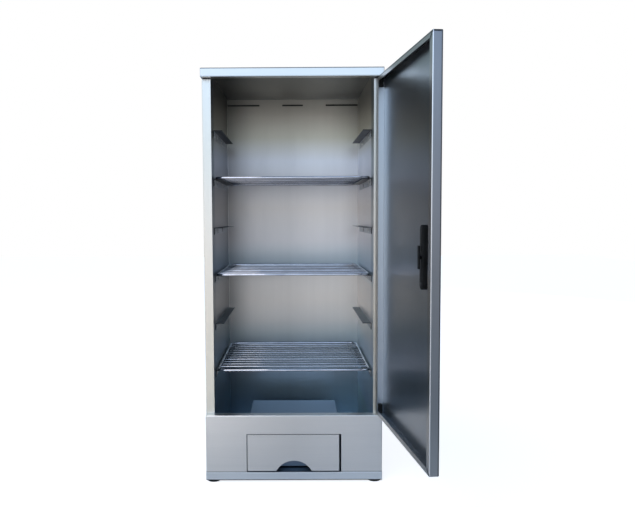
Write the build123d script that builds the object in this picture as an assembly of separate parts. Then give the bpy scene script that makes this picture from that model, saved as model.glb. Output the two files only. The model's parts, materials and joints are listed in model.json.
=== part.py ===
from build123d import *
import os

# Tall sheet-steel pellet smoker cabinet: double-walled body on a low base, one overlay door
# hinged on the right, three wire grates on angle rails, and a pellet drawer in the base.
# Millimetres. The front faces -Y, +X is to the right, +Z is up, and the origin is on the floor
# at the centre of the body's footprint. The door is modelled closed and then swung open.

# ---- driving dimensions ----
BODY_W = 400.0
BODY_D = 430.0
BODY_H = 926.0
SKIN = 1.2
LINER = 1.0
FIT = 0.2  # gap between two sheets of the body that lie side by side
SEAT = 0.02  # gap between a part and the sheet that it is fixed to
BEND_OUT = 1.6  # radius outside a fold
BEND_IN = 0.5  # radius inside a fold
BEYOND = 1.0  # how far a cutting tool runs past the sheet it cuts

FRONT = -BODY_D / 2  # plane of the closed door, the cap's front and the base's front
BACK = BODY_D / 2
FLANGE_Y = FRONT + 21.0  # plane of the body's front flanges, behind the door
HALF_W = BODY_W / 2
INNER_X = 181.0  # chamber wall
INNER_BACK = FRONT + 411.0

CAP_H = 19.0
CAP_BOTTOM = BODY_H - CAP_H
CAP_OVERHANG = 0.1
BASE_TOP = 154.0
BASE_TAB = 17.0
BASE_INSET = 0.9  # the base's front is this much narrower than the body, on each side
STRIP_TOP = 24.0
STRIP_INSET = 0.4
STRIP_PROUD = 0.8
FOOT_H = 5.0
FOOT_R = 15.0
FLOOR_TOP = STRIP_TOP
PAN_EDGE = 14.0  # depth of the floor pan's turned-down edges
PAN_CLEAR = 1.0
WALL_CLEAR = 2.0  # between a liner's return and the outer wall

FRONT_FLANGE_TOP = CAP_BOTTOM - 2.0
BOTTOM_FLANGE = 32.0
REAR_FLANGE = 15.0
SHELL_TOP = BODY_H - SKIN - FIT

VENT_Z = 908.0
VENT_OUT_Z = 892.0  # the outlets in the back panel are lower, so rain and light stay out
VENT_H = 4.6
VENT_HALF_MIDDLE = 28.5
VENT_SIDE = (91.5, 180.0)

RAIL_TOP = 798.0
RAIL_PITCH = 110.8
RAIL_COUNT = 6
RAIL_LEDGE = 20.5
RAIL_FLANGE = 16.0
RAIL_FRONT = FRONT + 60.0
RAIL_BACK = FRONT + 350.0
RAIL_SLOT = (20.0, 10.5)  # length and height of a locating slot in a rail's flange and the wall
RAIL_SLOT_UP = 2.0
RAIL_SLOTS_AT = (RAIL_FRONT + 13.0, RAIL_FRONT + 68.0, RAIL_FRONT + 182.0)  # their middles
RIVET_AT = 30.0  # from either end of a rail

DRAWER_HALF_OPENING = 107.0
DRAWER_OPENING_TOP = 111.0
TUNNEL_HALF_W = 109.0
TUNNEL_TOP = 114.0
TUNNEL_BACK = FRONT + 284.0
TUNNEL_FOOT = 10.0
TUNNEL_SLOTS = 6
TUNNEL_SLOT = (18.0, 70.0, 76.0)  # length, and low and high edges
TUNNEL_SLOT_PITCH = 36.0
TUNNEL_FIRST_SLOT = 40.0
RUNNER_SHELF = 10.0
RUNNER_H = 14.0
DRAWER_CENTRE_X = -1.5
DRAWER_HALF_W = 104.2
DRAWER_BOTTOM = 26.4
DRAWER_TOP = 109.6
CUTOUT_CHORD = 80.0
CUTOUT_RISE = 23.5
BOX_HALF_W = 99.0
BOX_FRONT = FRONT + 32.0
BOX_BACK = TUNNEL_BACK - 14.0
BOX_TOP = 92.0
DRAWER_END = 12.0
ARM_BOTTOM = 50.0
ARM_END = 11.5
DRAWER_RIVET_Y = FRONT + 7.5
DRAWER_RIVET_Z = (60.0, 82.0)
TRAY_GAP = 3.0
TRAY_TOP = 84.0
TRAY_LIFT = 6.0
TRAY_FOOT_R = 5.0
TRAY_FOOT_IN = 14.0
TRAY_SLOT = (62.0, 3.0)
TRAY_SLOT_ROWS = 11
TRAY_SLOT_X = 38.0
TRAY_SLOT_MARGIN = 26.0

GRATE_LEVELS = {"upper": 2, "middle": 4, "lower": 6}
GRATE_HALF_W = 177.5
GRATE_FRONT = FRONT + 47.0
GRATE_BACK = FRONT + 405.0
GRATE_CORNER = 18.0
GRATE_ROD_R = 2.5
GRATE_WIRE_R = 1.6
GRATE_WIRES = 11
GRATE_FIRST_WIRE = 44.0
GRATE_LAST_WIRE = 27.0
GRATE_CLEAR = 0.3
WELD = 0.5  # how far a wire sinks into the rod it is welded to

DOOR_OPEN_DEG = 96.5
DOOR_T = 18.0
DOOR_GAP = 1.5
DOOR_LIP = 16.0  # width of the return lips along the door's upright edges
DOOR_LIP_ENDS = 10.5  # and along its top and bottom
MITRE_GAP = 0.5  # between two lips that meet at a corner of the door
MITRE_START = 2.5  # the lips stay joined over this distance from the corner
HINGE_X = 195.0
HINGE_Y = FRONT + 9.0
DOOR_RIGHT = HALF_W
DOOR_LEFT = -HALF_W + 0.5
DOOR_BOTTOM = BASE_TOP + DOOR_GAP
DOOR_TOP = CAP_BOTTOM - DOOR_GAP
PIN_R = 2.5
PIN_HEAD_R = 2.8
PIN_HEAD = (4.2, 2.6)  # outer and inner end of the riveted head, from the sheet's face
PIN_REACH = 14.0
PIN_CLEAR = 0.05
PIN_WAY = 0.6  # clearance of the pan round a pin
PLATE_X = (22.0, 1.0)  # how far a hinge plate runs inwards and outwards from the pin
PLATE_Y = (6.5, 9.0)
BUSH_H = 20.5
BUSH_Y = 10.0
BUSH_IN = 4.8
BUSH_FIT = 0.05
BUSH_EDGE = 0.8
MAGNET = (10.0, 8.0, 30.0)  # width, depth and half height
MAGNET_EDGE = 4.0

PULL_X = HINGE_X - 315.0
PULL_Z = 527.0
PULL_H = 116.0
PULL_W = 20.0
PULL_DEPTH = 10.7
PULL_WALL = 1.5
PULL_RIM = 4.0
PULL_RIM_T = 1.6
PULL_SCREW_IN = 11.0
PULL_BAR = (8.0, 2.6, 42.0)
PULL_BAR_FRONT = 13.8
PULL_POST_R = 3.0

FEET = {
    "front_left": (-1, FRONT + 17.0),
    "front_right": (1, FRONT + 17.0),
    "rear_left": (-1, BACK - 22.0),
    "rear_right": (1, BACK - 22.0),
}
FOOT_X = 183.0
FOOT_EDGE = 1.5
FOOT_RECESS = 2.6


# ---- helpers ----
def block(x0, x1, y0, y1, z0, z1):
    """A box between two corners given as low and high along each axis, in either order."""
    size = (abs(x1 - x0), abs(y1 - y0), abs(z1 - z0))
    return Pos((x0 + x1) / 2, (y0 + y1) / 2, (z0 + z1) / 2) * Box(*size)


def rod(radius, start, end):
    """A round bar from one point to another."""
    line = Vector(*end) - Vector(*start)
    return Solid.make_cylinder(radius, line.length, Plane(Vector(*start), z_dir=line))


def folded_shell(outer, inner, flat):
    """A thin folded tray: outer less inner, with bends along every edge that isn't on a flat side.

    flat picks the edges to leave sharp."""
    outer = outer.fillet(BEND_OUT, [edge for edge in outer.edges() if not flat(edge)])
    inner = inner.fillet(BEND_IN, [edge for edge in inner.edges() if not flat(edge)])
    return outer.cut(inner)


def bent(shape, radius, wanted):
    """The shape with the straight edges that wanted picks rounded as a fold."""
    return shape.fillet(radius, [edge for edge in shape.edges() if wanted(edge)])


def near(value, target):
    return abs(value - target) < 0.01


def upright_at(x, y):
    """Picks the vertical edges at one place."""
    def wanted(edge):
        size = edge.bounding_box().size
        centre = edge.center()
        return size.X + size.Y < 0.01 and near(centre.X, x) and near(centre.Y, y)
    return wanted


def along_y_at(x, z):
    """Picks the front-to-back edges at one place."""
    def wanted(edge):
        size = edge.bounding_box().size
        centre = edge.center()
        return size.X + size.Z < 0.01 and near(centre.X, x) and near(centre.Z, z)
    return wanted


def joined(pieces):
    """One solid from touching or overlapping pieces."""
    first, *rest = pieces
    return first.fuse(*rest).clean() if rest else first


def cut(shape, tools):
    return shape.cut(*tools)


def group(pieces):
    """Separate solids that share one node."""
    solids = [solid for piece in pieces for solid in piece.solids()]
    return Compound(solids)


def fastener(point, direction, head_r, head_h, shank_r, shank_l):
    """A domed head that stands on point and a shank that runs the other way."""
    axis = Vector(*direction)
    base = Plane(Vector(*point), z_dir=axis)
    head = Solid.make_cylinder(head_r, head_h, base)
    head = fillet_top(head, axis, head_h * 0.8)
    shank = Solid.make_cylinder(shank_r, shank_l, Plane(Vector(*point), z_dir=axis * -1))
    return head.fuse(shank).clean()


def fillet_top(solid, axis, radius):
    edges = solid.edges().filter_by(GeomType.CIRCLE)
    top = sorted(edges, key=lambda edge: edge.center().dot(axis))[-1]
    return solid.fillet(radius, [top])


def save(name, shape):
    export_step(shape, f"parts/{name}.step")


# ---- fastener positions, shared by the sheets they pass through ----
SCREW = dict(head_r=3.6, head_h=2.0, shank_r=1.5, shank_l=5.0)
RIVET = dict(head_r=3.0, head_h=1.2, shank_r=1.2, shank_l=2.4)
HOLE_CLEAR = 0.05
SCREW_IN = 9.0  # from the body's side to the rows of screws on its back and base
SHORT_REACH = 3.5  # depth of a hole that goes through one wall only
RAIL_RIVET_DROP = RAIL_FLANGE * 0.6

CAP_SCREWS = [
    (side * (HALF_W + CAP_OVERHANG + SKIN), y, CAP_BOTTOM + 7.0, side)
    for side in (-1, 1)
    for y in (FRONT + 60.0, 0.0, BACK - 45.0)
]
BACK_SCREWS = [
    (side * (HALF_W - SCREW_IN), BACK, z)
    for side in (-1, 1)
    for z in (60.0, 260.0, 460.0, 660.0, 860.0)
]
BASE_SCREWS = [(side * (HALF_W - SCREW_IN), FRONT, z) for side in (-1, 1) for z in (46.0, 132.0)]


def drilled(shape, places, direction, fast, reach=12.0):
    """Clearance holes for a row of fasteners."""
    axis = Vector(*direction)
    tools = []
    for place in places:
        point = Vector(*place)
        start = point - axis * reach
        radius = fast["shank_r"] + HOLE_CLEAR
        tools.append(Solid.make_cylinder(radius, 2 * reach, Plane(start, z_dir=axis)))
    return cut(shape, tools)


# ---- body shell ----
def roof_cap():
    half = HALF_W + CAP_OVERHANG + SKIN
    rear = BACK + FIT + SKIN
    outer = block(-half, half, FRONT, rear, CAP_BOTTOM, BODY_H)
    inner = block(-half + SKIN, half - SKIN, FRONT + SKIN, rear - SKIN, CAP_BOTTOM, BODY_H - SKIN)
    cap = folded_shell(outer, inner, lambda edge: near(edge.center().Z, CAP_BOTTOM))
    for side in (-1, 1):
        places = [(x, y, z) for x, y, z, where in CAP_SCREWS if where == side]
        cap = drilled(cap, places, (side, 0, 0), SCREW)
    return cap


def ceiling_liner():
    """Inner sheet under the cap, between the side liners."""
    half = INNER_X - FIT
    front = FLANGE_Y + SKIN + FIT
    return block(-half, half, front, INNER_BACK - FIT, SHELL_TOP - LINER, SHELL_TOP)


def front_header():
    """Angle under the cap's front: the door's top stop, which carries the top hinge pin."""
    half = HALF_W - FIT
    rear = FLANGE_Y + SKIN
    plate = block(-half, half, FRONT + SKIN + FIT, rear, CAP_BOTTOM, CAP_BOTTOM + SKIN)
    web = block(-half, half, FLANGE_Y, rear, CAP_BOTTOM, SHELL_TOP)
    hole = rod(PIN_R + PIN_CLEAR, (HINGE_X, HINGE_Y, CAP_BOTTOM - BEYOND), (HINGE_X, HINGE_Y, BODY_H))
    return cut(joined([plate, web]), [hole])


def side_panel(side):
    """Outer wall with front, rear and bottom flanges turned inwards."""
    web = block(side * (HALF_W - SKIN), side * HALF_W, FLANGE_Y, BACK, FOOT_H, CAP_BOTTOM)
    tongue = block(
        side * (HALF_W - SKIN), side * HALF_W,
        FLANGE_Y + SKIN + FIT, BACK, CAP_BOTTOM, SHELL_TOP,
    )
    front = block(
        side * INNER_X, side * HALF_W,
        FLANGE_Y, FLANGE_Y + SKIN, FOOT_H, FRONT_FLANGE_TOP,
    )
    rear = block(
        side * (HALF_W - REAR_FLANGE), side * HALF_W,
        BACK - 2 * SKIN - FIT, BACK - SKIN - FIT, FOOT_H, SHELL_TOP,
    )
    bottom = block(
        side * (HALF_W - BOTTOM_FLANGE), side * HALF_W,
        FLANGE_Y, BACK - SKIN - FIT, FOOT_H, FOOT_H + SKIN,
    )
    panel = joined([web, tongue, front, rear, bottom])
    panel = bent(panel, BEND_OUT, upright_at(side * HALF_W, FLANGE_Y))
    behind_back = block(
        side * (HALF_W - SKIN), side * (HALF_W - REAR_FLANGE),
        BACK - SKIN - FIT, BACK, 0, BODY_H,
    )
    panel = cut(panel, [behind_back])
    cap_places = [(x, y, z) for x, y, z, where in CAP_SCREWS if where == side]
    panel = drilled(panel, cap_places, (side, 0, 0), SCREW, reach=SHORT_REACH)
    back_places = [place for place in BACK_SCREWS if place[0] * side > 0]
    panel = drilled(panel, back_places, (0, 1, 0), SCREW)
    foot_places = [(where * FOOT_X, y, FOOT_H) for where, y in FEET.values() if where == side and y > 0]
    panel = drilled(panel, foot_places, (0, 0, 1), SCREW, reach=SHORT_REACH)
    base_places = [(x, FLANGE_Y, z) for x, y, z in BASE_SCREWS if x * side > 0]
    return drilled(panel, base_places, (0, 1, 0), SCREW, reach=SHORT_REACH)


def side_liner(side):
    """Inner wall, with a return behind the front flange that closes the hollow wall."""
    outer = INNER_X + LINER
    front = FLANGE_Y + SKIN + FIT
    wall = block(side * INNER_X, side * outer, front, INNER_BACK, FLOOR_TOP, SHELL_TOP)
    turn = block(
        side * INNER_X, side * (HALF_W - SKIN - WALL_CLEAR),
        front, front + LINER, FLOOR_TOP, FRONT_FLANGE_TOP,
    )
    liner = joined([wall, turn])
    places = [
        (side * INNER_X, y, rail_z(level) - RAIL_RIVET_DROP)
        for level in range(1, RAIL_COUNT + 1)
        for y in (RAIL_FRONT + RIVET_AT, RAIL_BACK - RIVET_AT)
    ]
    liner = drilled(liner, places, (side, 0, 0), RIVET)
    for level in range(1, RAIL_COUNT + 1):
        liner = cut(liner, rail_slots(side, level, outer))
    base_places = [(x, FLANGE_Y, z) for x, y, z in BASE_SCREWS if x * side > 0]
    return drilled(liner, base_places, (0, 1, 0), SCREW)


def vent_slots(y0, y1, centre_z):
    low, high = centre_z - VENT_H / 2, centre_z + VENT_H / 2
    spans = [(-VENT_HALF_MIDDLE, VENT_HALF_MIDDLE), VENT_SIDE, (-VENT_SIDE[1], -VENT_SIDE[0])]
    return [block(x0, x1, y0, y1, low, high) for x0, x1 in spans]


def back_liner():
    half = INNER_X + LINER
    sheet = block(-half, half, INNER_BACK, INNER_BACK + LINER, FLOOR_TOP, SHELL_TOP)
    return cut(sheet, vent_slots(INNER_BACK - BEYOND, INNER_BACK + LINER + BEYOND, VENT_Z))


def back_panel():
    half = HALF_W - SKIN - FIT
    sheet = block(-half, half, BACK - SKIN, BACK, FOOT_H, SHELL_TOP)
    sheet = cut(sheet, vent_slots(BACK - SKIN - BEYOND, BACK + BEYOND, VENT_OUT_Z))
    return drilled(sheet, BACK_SCREWS, (0, 1, 0), SCREW)


def floor_pan():
    """Bottom of the chamber, sunk into the base, with its long edges turned down."""
    half = HALF_W - SKIN - FIT - PAN_CLEAR
    front = FRONT + SKIN + PAN_CLEAR
    rear = BACK - 2 * SKIN - 2 * FIT
    behind = FLANGE_Y + SKIN + FIT
    low, high = FLOOR_TOP - SKIN, FLOOR_TOP - FIT
    wide = block(-half, half, behind, rear, low, high)
    narrow = block(-INNER_X + FIT, INNER_X - FIT, front, behind, low, high)
    edges = [
        block(side * (half - SKIN), side * half, FLANGE_Y + 2 * SKIN, rear,
              FLOOR_TOP - PAN_EDGE, FLOOR_TOP - FIT)
        for side in (-1, 1)
    ]
    return joined([wide, narrow, *edges])


def base_front_panel():
    """Folded front of the base: face, top ledge under the door, side returns, drawer opening."""
    half = HALF_W - BASE_INSET
    rear = FLANGE_Y - FIT

    def open_side(edge):
        centre = edge.center()
        return near(centre.Z, STRIP_TOP) or near(centre.Y, rear)

    outer = block(-half, half, FRONT, rear, STRIP_TOP, BASE_TOP)
    inner = block(-half + SKIN, half - SKIN, FRONT + SKIN, rear, STRIP_TOP, BASE_TOP - SKIN)
    shell = folded_shell(outer, inner, open_side)
    tabs = [
        block(side * (half - BASE_TAB), side * half, rear - SKIN, rear, STRIP_TOP, BASE_TOP - BEND_OUT)
        for side in (-1, 1)
    ]
    opening = block(
        -DRAWER_HALF_OPENING, DRAWER_HALF_OPENING,
        FRONT - BEYOND, FRONT + SKIN + BEYOND, STRIP_TOP, DRAWER_OPENING_TOP,
    )
    pin_hole = rod(PIN_R + PIN_CLEAR, (HINGE_X, HINGE_Y, STRIP_TOP), (HINGE_X, HINGE_Y, BASE_TOP + BEYOND))
    panel = cut(joined([shell, *tabs]), [opening, pin_hole])
    places = [(x, FLANGE_Y, z) for x, y, z in BASE_SCREWS]
    return drilled(panel, places, (0, 1, 0), SCREW, reach=SHORT_REACH)


def base_front_liner():
    """Inner front wall of the base, which closes round the drawer's tunnel."""
    y0 = FLANGE_Y + SKIN + FIT + LINER + FIT
    half = INNER_X - FIT
    sheet = block(-half, half, y0, y0 + LINER, FLOOR_TOP, BASE_TOP - WALL_CLEAR)
    half_hole = TUNNEL_HALF_W + TUNNEL_FOOT + FIT
    hole = block(-half_hole, half_hole, y0 - BEYOND, y0 + LINER + BEYOND, FLOOR_TOP, TUNNEL_TOP + FIT)
    return cut(sheet, [hole])


def plinth_strip():
    """Toe strip along the front, with side returns and a bottom flange over the front feet."""
    half = HALF_W - STRIP_INSET
    front = FRONT - STRIP_PROUD
    rear = FLANGE_Y - FIT
    top = STRIP_TOP - FIT

    def open_side(edge):
        centre = edge.center()
        return near(centre.Z, top) or near(centre.Y, rear)

    outer = block(-half, half, front, rear, FOOT_H, top)
    inner = block(-half + SKIN, half - SKIN, front + SKIN, rear, FOOT_H + SKIN, top)
    strip = folded_shell(outer, inner, open_side)
    places = [(side * FOOT_X, y, FOOT_H) for side, y in FEET.values() if y < 0]
    return drilled(strip, places, (0, 0, 1), SCREW, reach=SHORT_REACH)


# ---- drawer tunnel and runners ----
def drawer_tunnel():
    """Cover over the drawer, open in front and behind, with smoke slots in both sides."""
    front = FRONT + SKIN + FIT
    inside = TUNNEL_HALF_W - SKIN
    bottom = FLOOR_TOP

    def open_side(edge):
        centre = edge.center()
        return not (near(centre.Z, TUNNEL_TOP) and near(abs(centre.X), TUNNEL_HALF_W))

    outer = block(-TUNNEL_HALF_W, TUNNEL_HALF_W, front, TUNNEL_BACK, bottom, TUNNEL_TOP)
    outer = outer.fillet(BEND_OUT, [edge for edge in outer.edges() if not open_side(edge)])
    inner = block(-inside, inside, front - BEYOND, TUNNEL_BACK + BEYOND, bottom - BEYOND, TUNNEL_TOP - SKIN)
    feet = [
        block(side * inside, side * (TUNNEL_HALF_W + TUNNEL_FOOT),
              FLANGE_Y + SKIN, TUNNEL_BACK, bottom, bottom + SKIN)
        for side in (-1, 1)
    ]
    length, low, high = TUNNEL_SLOT
    starts = [FLANGE_Y + TUNNEL_FIRST_SLOT + step * TUNNEL_SLOT_PITCH for step in range(TUNNEL_SLOTS)]
    slots = [
        block(side * (inside - BEYOND), side * (TUNNEL_HALF_W + BEYOND), y, y + length, low, high)
        for side in (-1, 1)
        for y in starts
    ]
    return cut(joined([cut(outer, [inner]), *feet]), slots)


def drawer_runner(side):
    """Angle in the tunnel's bottom corner that the drawer box slides on."""
    wall = DRAWER_CENTRE_X + side * (BOX_HALF_W + 1.0)
    y0, y1 = FLANGE_Y, TUNNEL_BACK - 2.0
    upright = block(wall, wall + side * SKIN, y0, y1, FLOOR_TOP, FLOOR_TOP + RUNNER_H)
    shelf = block(wall - side * RUNNER_SHELF, wall + side * SKIN, y0, y1, FLOOR_TOP, FLOOR_TOP + 1.0)
    return joined([upright, shelf])


# ---- rails ----
def rail_z(level):
    return RAIL_TOP - (level - 1) * RAIL_PITCH


def rail_slots(side, level, outer_face):
    """Cutters for one rail's locating slots, which pass through its flange and the wall."""
    length, height = RAIL_SLOT
    low = rail_z(level) - RAIL_FLANGE + RAIL_SLOT_UP
    return [
        block(side * (INNER_X - 2 * SKIN), side * (outer_face + BEYOND), y - length / 2, y + length / 2,
              low, low + height)
        for y in RAIL_SLOTS_AT
    ]


def rail(side, level):
    """Angle rail: a flat ledge for the grate and a flange down the wall, with locating slots."""
    top = rail_z(level)
    wall = INNER_X - SEAT
    bottom = top - RAIL_FLANGE
    ledge = block(side * (wall - RAIL_LEDGE), side * wall, RAIL_FRONT, RAIL_BACK, top - SKIN, top)
    flange = block(side * (wall - SKIN), side * wall, RAIL_FRONT, RAIL_BACK, bottom, top)
    angle = bent(joined([ledge, flange]), BEND_OUT, along_y_at(side * wall, top))
    angle = bent(angle, BEND_IN, along_y_at(side * (wall - SKIN), top - SKIN))
    places = [
        (side * INNER_X, y, top - RAIL_RIVET_DROP)
        for y in (RAIL_FRONT + RIVET_AT, RAIL_BACK - RIVET_AT)
    ]
    angle = cut(angle, rail_slots(side, level, wall))
    return drilled(angle, places, (side, 0, 0), RIVET, reach=SHORT_REACH)


def rail_rivets():
    pieces = []
    for side in (-1, 1):
        for level in range(1, RAIL_COUNT + 1):
            for y in (RAIL_FRONT + RIVET_AT, RAIL_BACK - RIVET_AT):
                point = (side * (INNER_X - SEAT - SKIN), y, rail_z(level) - RAIL_RIVET_DROP)
                pieces.append(fastener(point, (-side, 0, 0), **RIVET))
    return group(pieces)


# ---- feet and screws ----
def foot(side, y):
    """Round pad with its screw's head sunk into the sole."""
    x = side * FOOT_X
    pad = Pos(x, y, FOOT_H / 2) * Cylinder(FOOT_R, FOOT_H)
    pad = pad.fillet(FOOT_EDGE, pad.edges().filter_by(GeomType.CIRCLE).sort_by(Axis.Z)[:1])
    recess = rod(SCREW["head_r"] + 0.4, (x, y, -BEYOND), (x, y, FOOT_RECESS))
    hole = rod(SCREW["shank_r"] + HOLE_CLEAR, (x, y, -BEYOND), (x, y, FOOT_H + BEYOND))
    return cut(pad, [recess, hole])


def foot_screws():
    places = [(side * FOOT_X, y, FOOT_RECESS) for side, y in FEET.values()]
    return group([fastener(place, (0, 0, -1), **SCREW) for place in places])


def cap_screws():
    return group([fastener((x, y, z), (side, 0, 0), **SCREW) for x, y, z, side in CAP_SCREWS])


def back_screws():
    return group([fastener(place, (0, 1, 0), **SCREW) for place in BACK_SCREWS])


def base_screws():
    """Screws inside the base that hold its front panel to the body's flanges."""
    inside = FLANGE_Y + SKIN + FIT + LINER
    pieces = [fastener((x, inside, z), (0, 1, 0), **SCREW) for x, y, z in BASE_SCREWS]
    return group(pieces)


# ---- hinge and catch ----
def hinge_pin(base_z, head_up):
    """Shouldered pin riveted into the body; its free end turns in the door's bush."""
    way = -1 if head_up else 1
    outer, inner = PIN_HEAD

    def at(distance):
        return (HINGE_X, HINGE_Y, base_z + way * distance)

    return joined([rod(PIN_R, at(-outer), at(PIN_REACH)), rod(PIN_HEAD_R, at(-outer), at(-inner))])


def hinge_plate(base_z, above):
    """Doubler that stiffens the sheet, notched round a hinge pin."""
    z0 = base_z + SKIN if above else base_z - 2 * SKIN
    plate = block(
        HINGE_X - PLATE_X[0], HINGE_X + PLATE_X[1],
        HINGE_Y - PLATE_Y[0], HINGE_Y + PLATE_Y[1], z0, z0 + SKIN,
    )
    hole = rod(PIN_R + PIN_CLEAR, (HINGE_X, HINGE_Y, z0 - BEYOND), (HINGE_X, HINGE_Y, z0 + SKIN + BEYOND))
    return cut(plate, [hole])


def catch_magnet(z):
    """Magnet block behind the left front flange that holds the closed door by its lip."""
    width, depth, half_h = MAGNET
    x0 = -HALF_W + MAGNET_EDGE
    y0 = FLANGE_Y + SKIN + FIT + LINER + FIT
    body = block(x0, x0 + width, y0, y0 + depth, z - half_h, z + half_h)
    return body.fillet(1.0, body.edges().filter_by(Axis.Z))


# ---- door ----
def swung(shape):
    """Swing a piece of the closed door to the stored, open pose."""
    return shape.rotate(Axis((HINGE_X, HINGE_Y, 0), (0, 0, 1)), DOOR_OPEN_DEG)


def door_panel():
    """Folded pan: face, four flanges and a return lip all round, open on the inner side."""
    outer = block(DOOR_LEFT, DOOR_RIGHT, FRONT, FRONT + DOOR_T, DOOR_BOTTOM, DOOR_TOP)
    inner = block(
        DOOR_LEFT + SKIN, DOOR_RIGHT - SKIN,
        FRONT + SKIN, FRONT + DOOR_T - SKIN, DOOR_BOTTOM + SKIN, DOOR_TOP - SKIN,
    )
    pan = folded_shell(outer, inner, lambda edge: False)
    window = block(
        DOOR_LEFT + DOOR_LIP, DOOR_RIGHT - DOOR_LIP,
        FRONT + DOOR_T / 2, FRONT + DOOR_T + BEYOND,
        DOOR_BOTTOM + DOOR_LIP_ENDS, DOOR_TOP - DOOR_LIP_ENDS,
    )
    pin_way = rod(
        PIN_R + PIN_WAY,
        (HINGE_X, HINGE_Y, DOOR_BOTTOM - BEYOND), (HINGE_X, HINGE_Y, DOOR_TOP + BEYOND),
    )
    pull_hole = pull_block(FIT, FRONT - BEYOND, FRONT + SKIN + BEYOND)
    return cut(pan, [window, pin_way, pull_hole, *lip_mitres()])


def lip_mitres():
    """Thin slanted cutters where the upright lips meet the top and bottom ones."""
    corners = [
        (DOOR_LEFT, 1, DOOR_TOP, -1), (DOOR_RIGHT, -1, DOOR_TOP, -1),
        (DOOR_LEFT, 1, DOOR_BOTTOM, 1), (DOOR_RIGHT, -1, DOOR_BOTTOM, 1),
    ]
    length = (DOOR_LIP**2 + DOOR_LIP_ENDS**2) ** 0.5
    cutters = []
    for x, inwards, z, along in corners:
        way = Vector(inwards * DOOR_LIP, 0, along * DOOR_LIP_ENDS)
        place = Plane((x, FRONT + DOOR_T, z), x_dir=way, z_dir=(0, 1, 0))
        slit = block(MITRE_START, length + BEYOND, -MITRE_GAP / 2, MITRE_GAP / 2, -SKIN - FIT, BEYOND)
        cutters.append(place * slit)
    return cutters


def door_bush(z0):
    """Block in the pan's corner that turns on a hinge pin."""
    right = DOOR_RIGHT - SKIN - BUSH_FIT
    body = block(
        HINGE_X - BUSH_IN, right, HINGE_Y - BUSH_Y / 2, HINGE_Y + BUSH_Y / 2, z0, z0 + BUSH_H,
    )
    body = body.fillet(BUSH_EDGE, body.edges().filter_by(Axis.Y))
    bore = rod(
        PIN_R + PIN_CLEAR, (HINGE_X, HINGE_Y, z0 - BEYOND), (HINGE_X, HINGE_Y, z0 + BUSH_H + BEYOND),
    )
    return cut(body, [bore])


def pull_block(grow, y0, y1):
    """Upright round-ended block on the finger pull's centre."""
    half_w = PULL_W / 2 + grow
    half_h = PULL_H / 2 + grow
    body = block(PULL_X - half_w, PULL_X + half_w, y0, y1, PULL_Z - half_h, PULL_Z + half_h)
    return body.fillet(half_w * 0.9, body.edges().filter_by(Axis.Y))


def door_pull():
    """Recessed finger pull: a rim on the door's face and a cup through it."""
    face = FRONT - PULL_RIM_T
    rim = pull_block(PULL_RIM, face, FRONT - SEAT)
    cup = pull_block(0, face, FRONT + PULL_DEPTH)
    room = pull_block(-PULL_WALL, face - BEYOND, FRONT + PULL_DEPTH - PULL_WALL)
    shape = cut(joined([rim, cup]), [room])
    return drilled(shape, pull_screw_places(), (0, 1, 0), RIVET)


def pull_screw_places():
    reach = PULL_H / 2 - PULL_SCREW_IN
    return [(PULL_X, FRONT + PULL_DEPTH, PULL_Z + side * reach) for side in (-1, 1)]


def pull_screws():
    return group([fastener(place, (0, 1, 0), **RIVET) for place in pull_screw_places()])


def pull_bar():
    """Upright retaining bar that stands off the back of the finger pull on a short post."""
    width, thick, height = PULL_BAR
    y0 = FRONT + PULL_BAR_FRONT
    bar = block(
        PULL_X - width / 2, PULL_X + width / 2, y0, y0 + thick,
        PULL_Z - height / 2, PULL_Z + height / 2,
    )
    bar = bar.fillet(1.0, bar.edges().filter_by(Axis.Y))
    post = rod(PULL_POST_R, (PULL_X, FRONT + PULL_DEPTH + SEAT, PULL_Z), (PULL_X, y0 + 1, PULL_Z))
    return joined([bar, post])


# ---- drawer ----
def drawer_front():
    """Drawer face with a half-round finger cut-out in its lower edge and turned-in ends."""
    x0, x1 = DRAWER_CENTRE_X - DRAWER_HALF_W, DRAWER_CENTRE_X + DRAWER_HALF_W
    face = block(x0, x1, FRONT, FRONT + SKIN, DRAWER_BOTTOM, DRAWER_TOP)
    ends = [
        block(x, x + side * SKIN, FRONT, FRONT + DRAWER_END, DRAWER_BOTTOM, DRAWER_TOP)
        for x, side in ((x0, 1), (x1, -1))
    ]
    sheet = joined([face, *ends])
    for x in (x0, x1):
        sheet = bent(sheet, BEND_OUT, upright_at(x, FRONT))
    radius = (CUTOUT_CHORD**2 / 4 + CUTOUT_RISE**2) / (2 * CUTOUT_RISE)
    centre_z = DRAWER_BOTTOM + CUTOUT_RISE - radius
    cutter = rod(radius, (0, FRONT - BEYOND, centre_z), (0, FRONT + SKIN + BEYOND, centre_z))
    return drilled(cut(sheet, [cutter]), drawer_rivet_places(), (1, 0, 0), RIVET, reach=SHORT_REACH)


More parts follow.
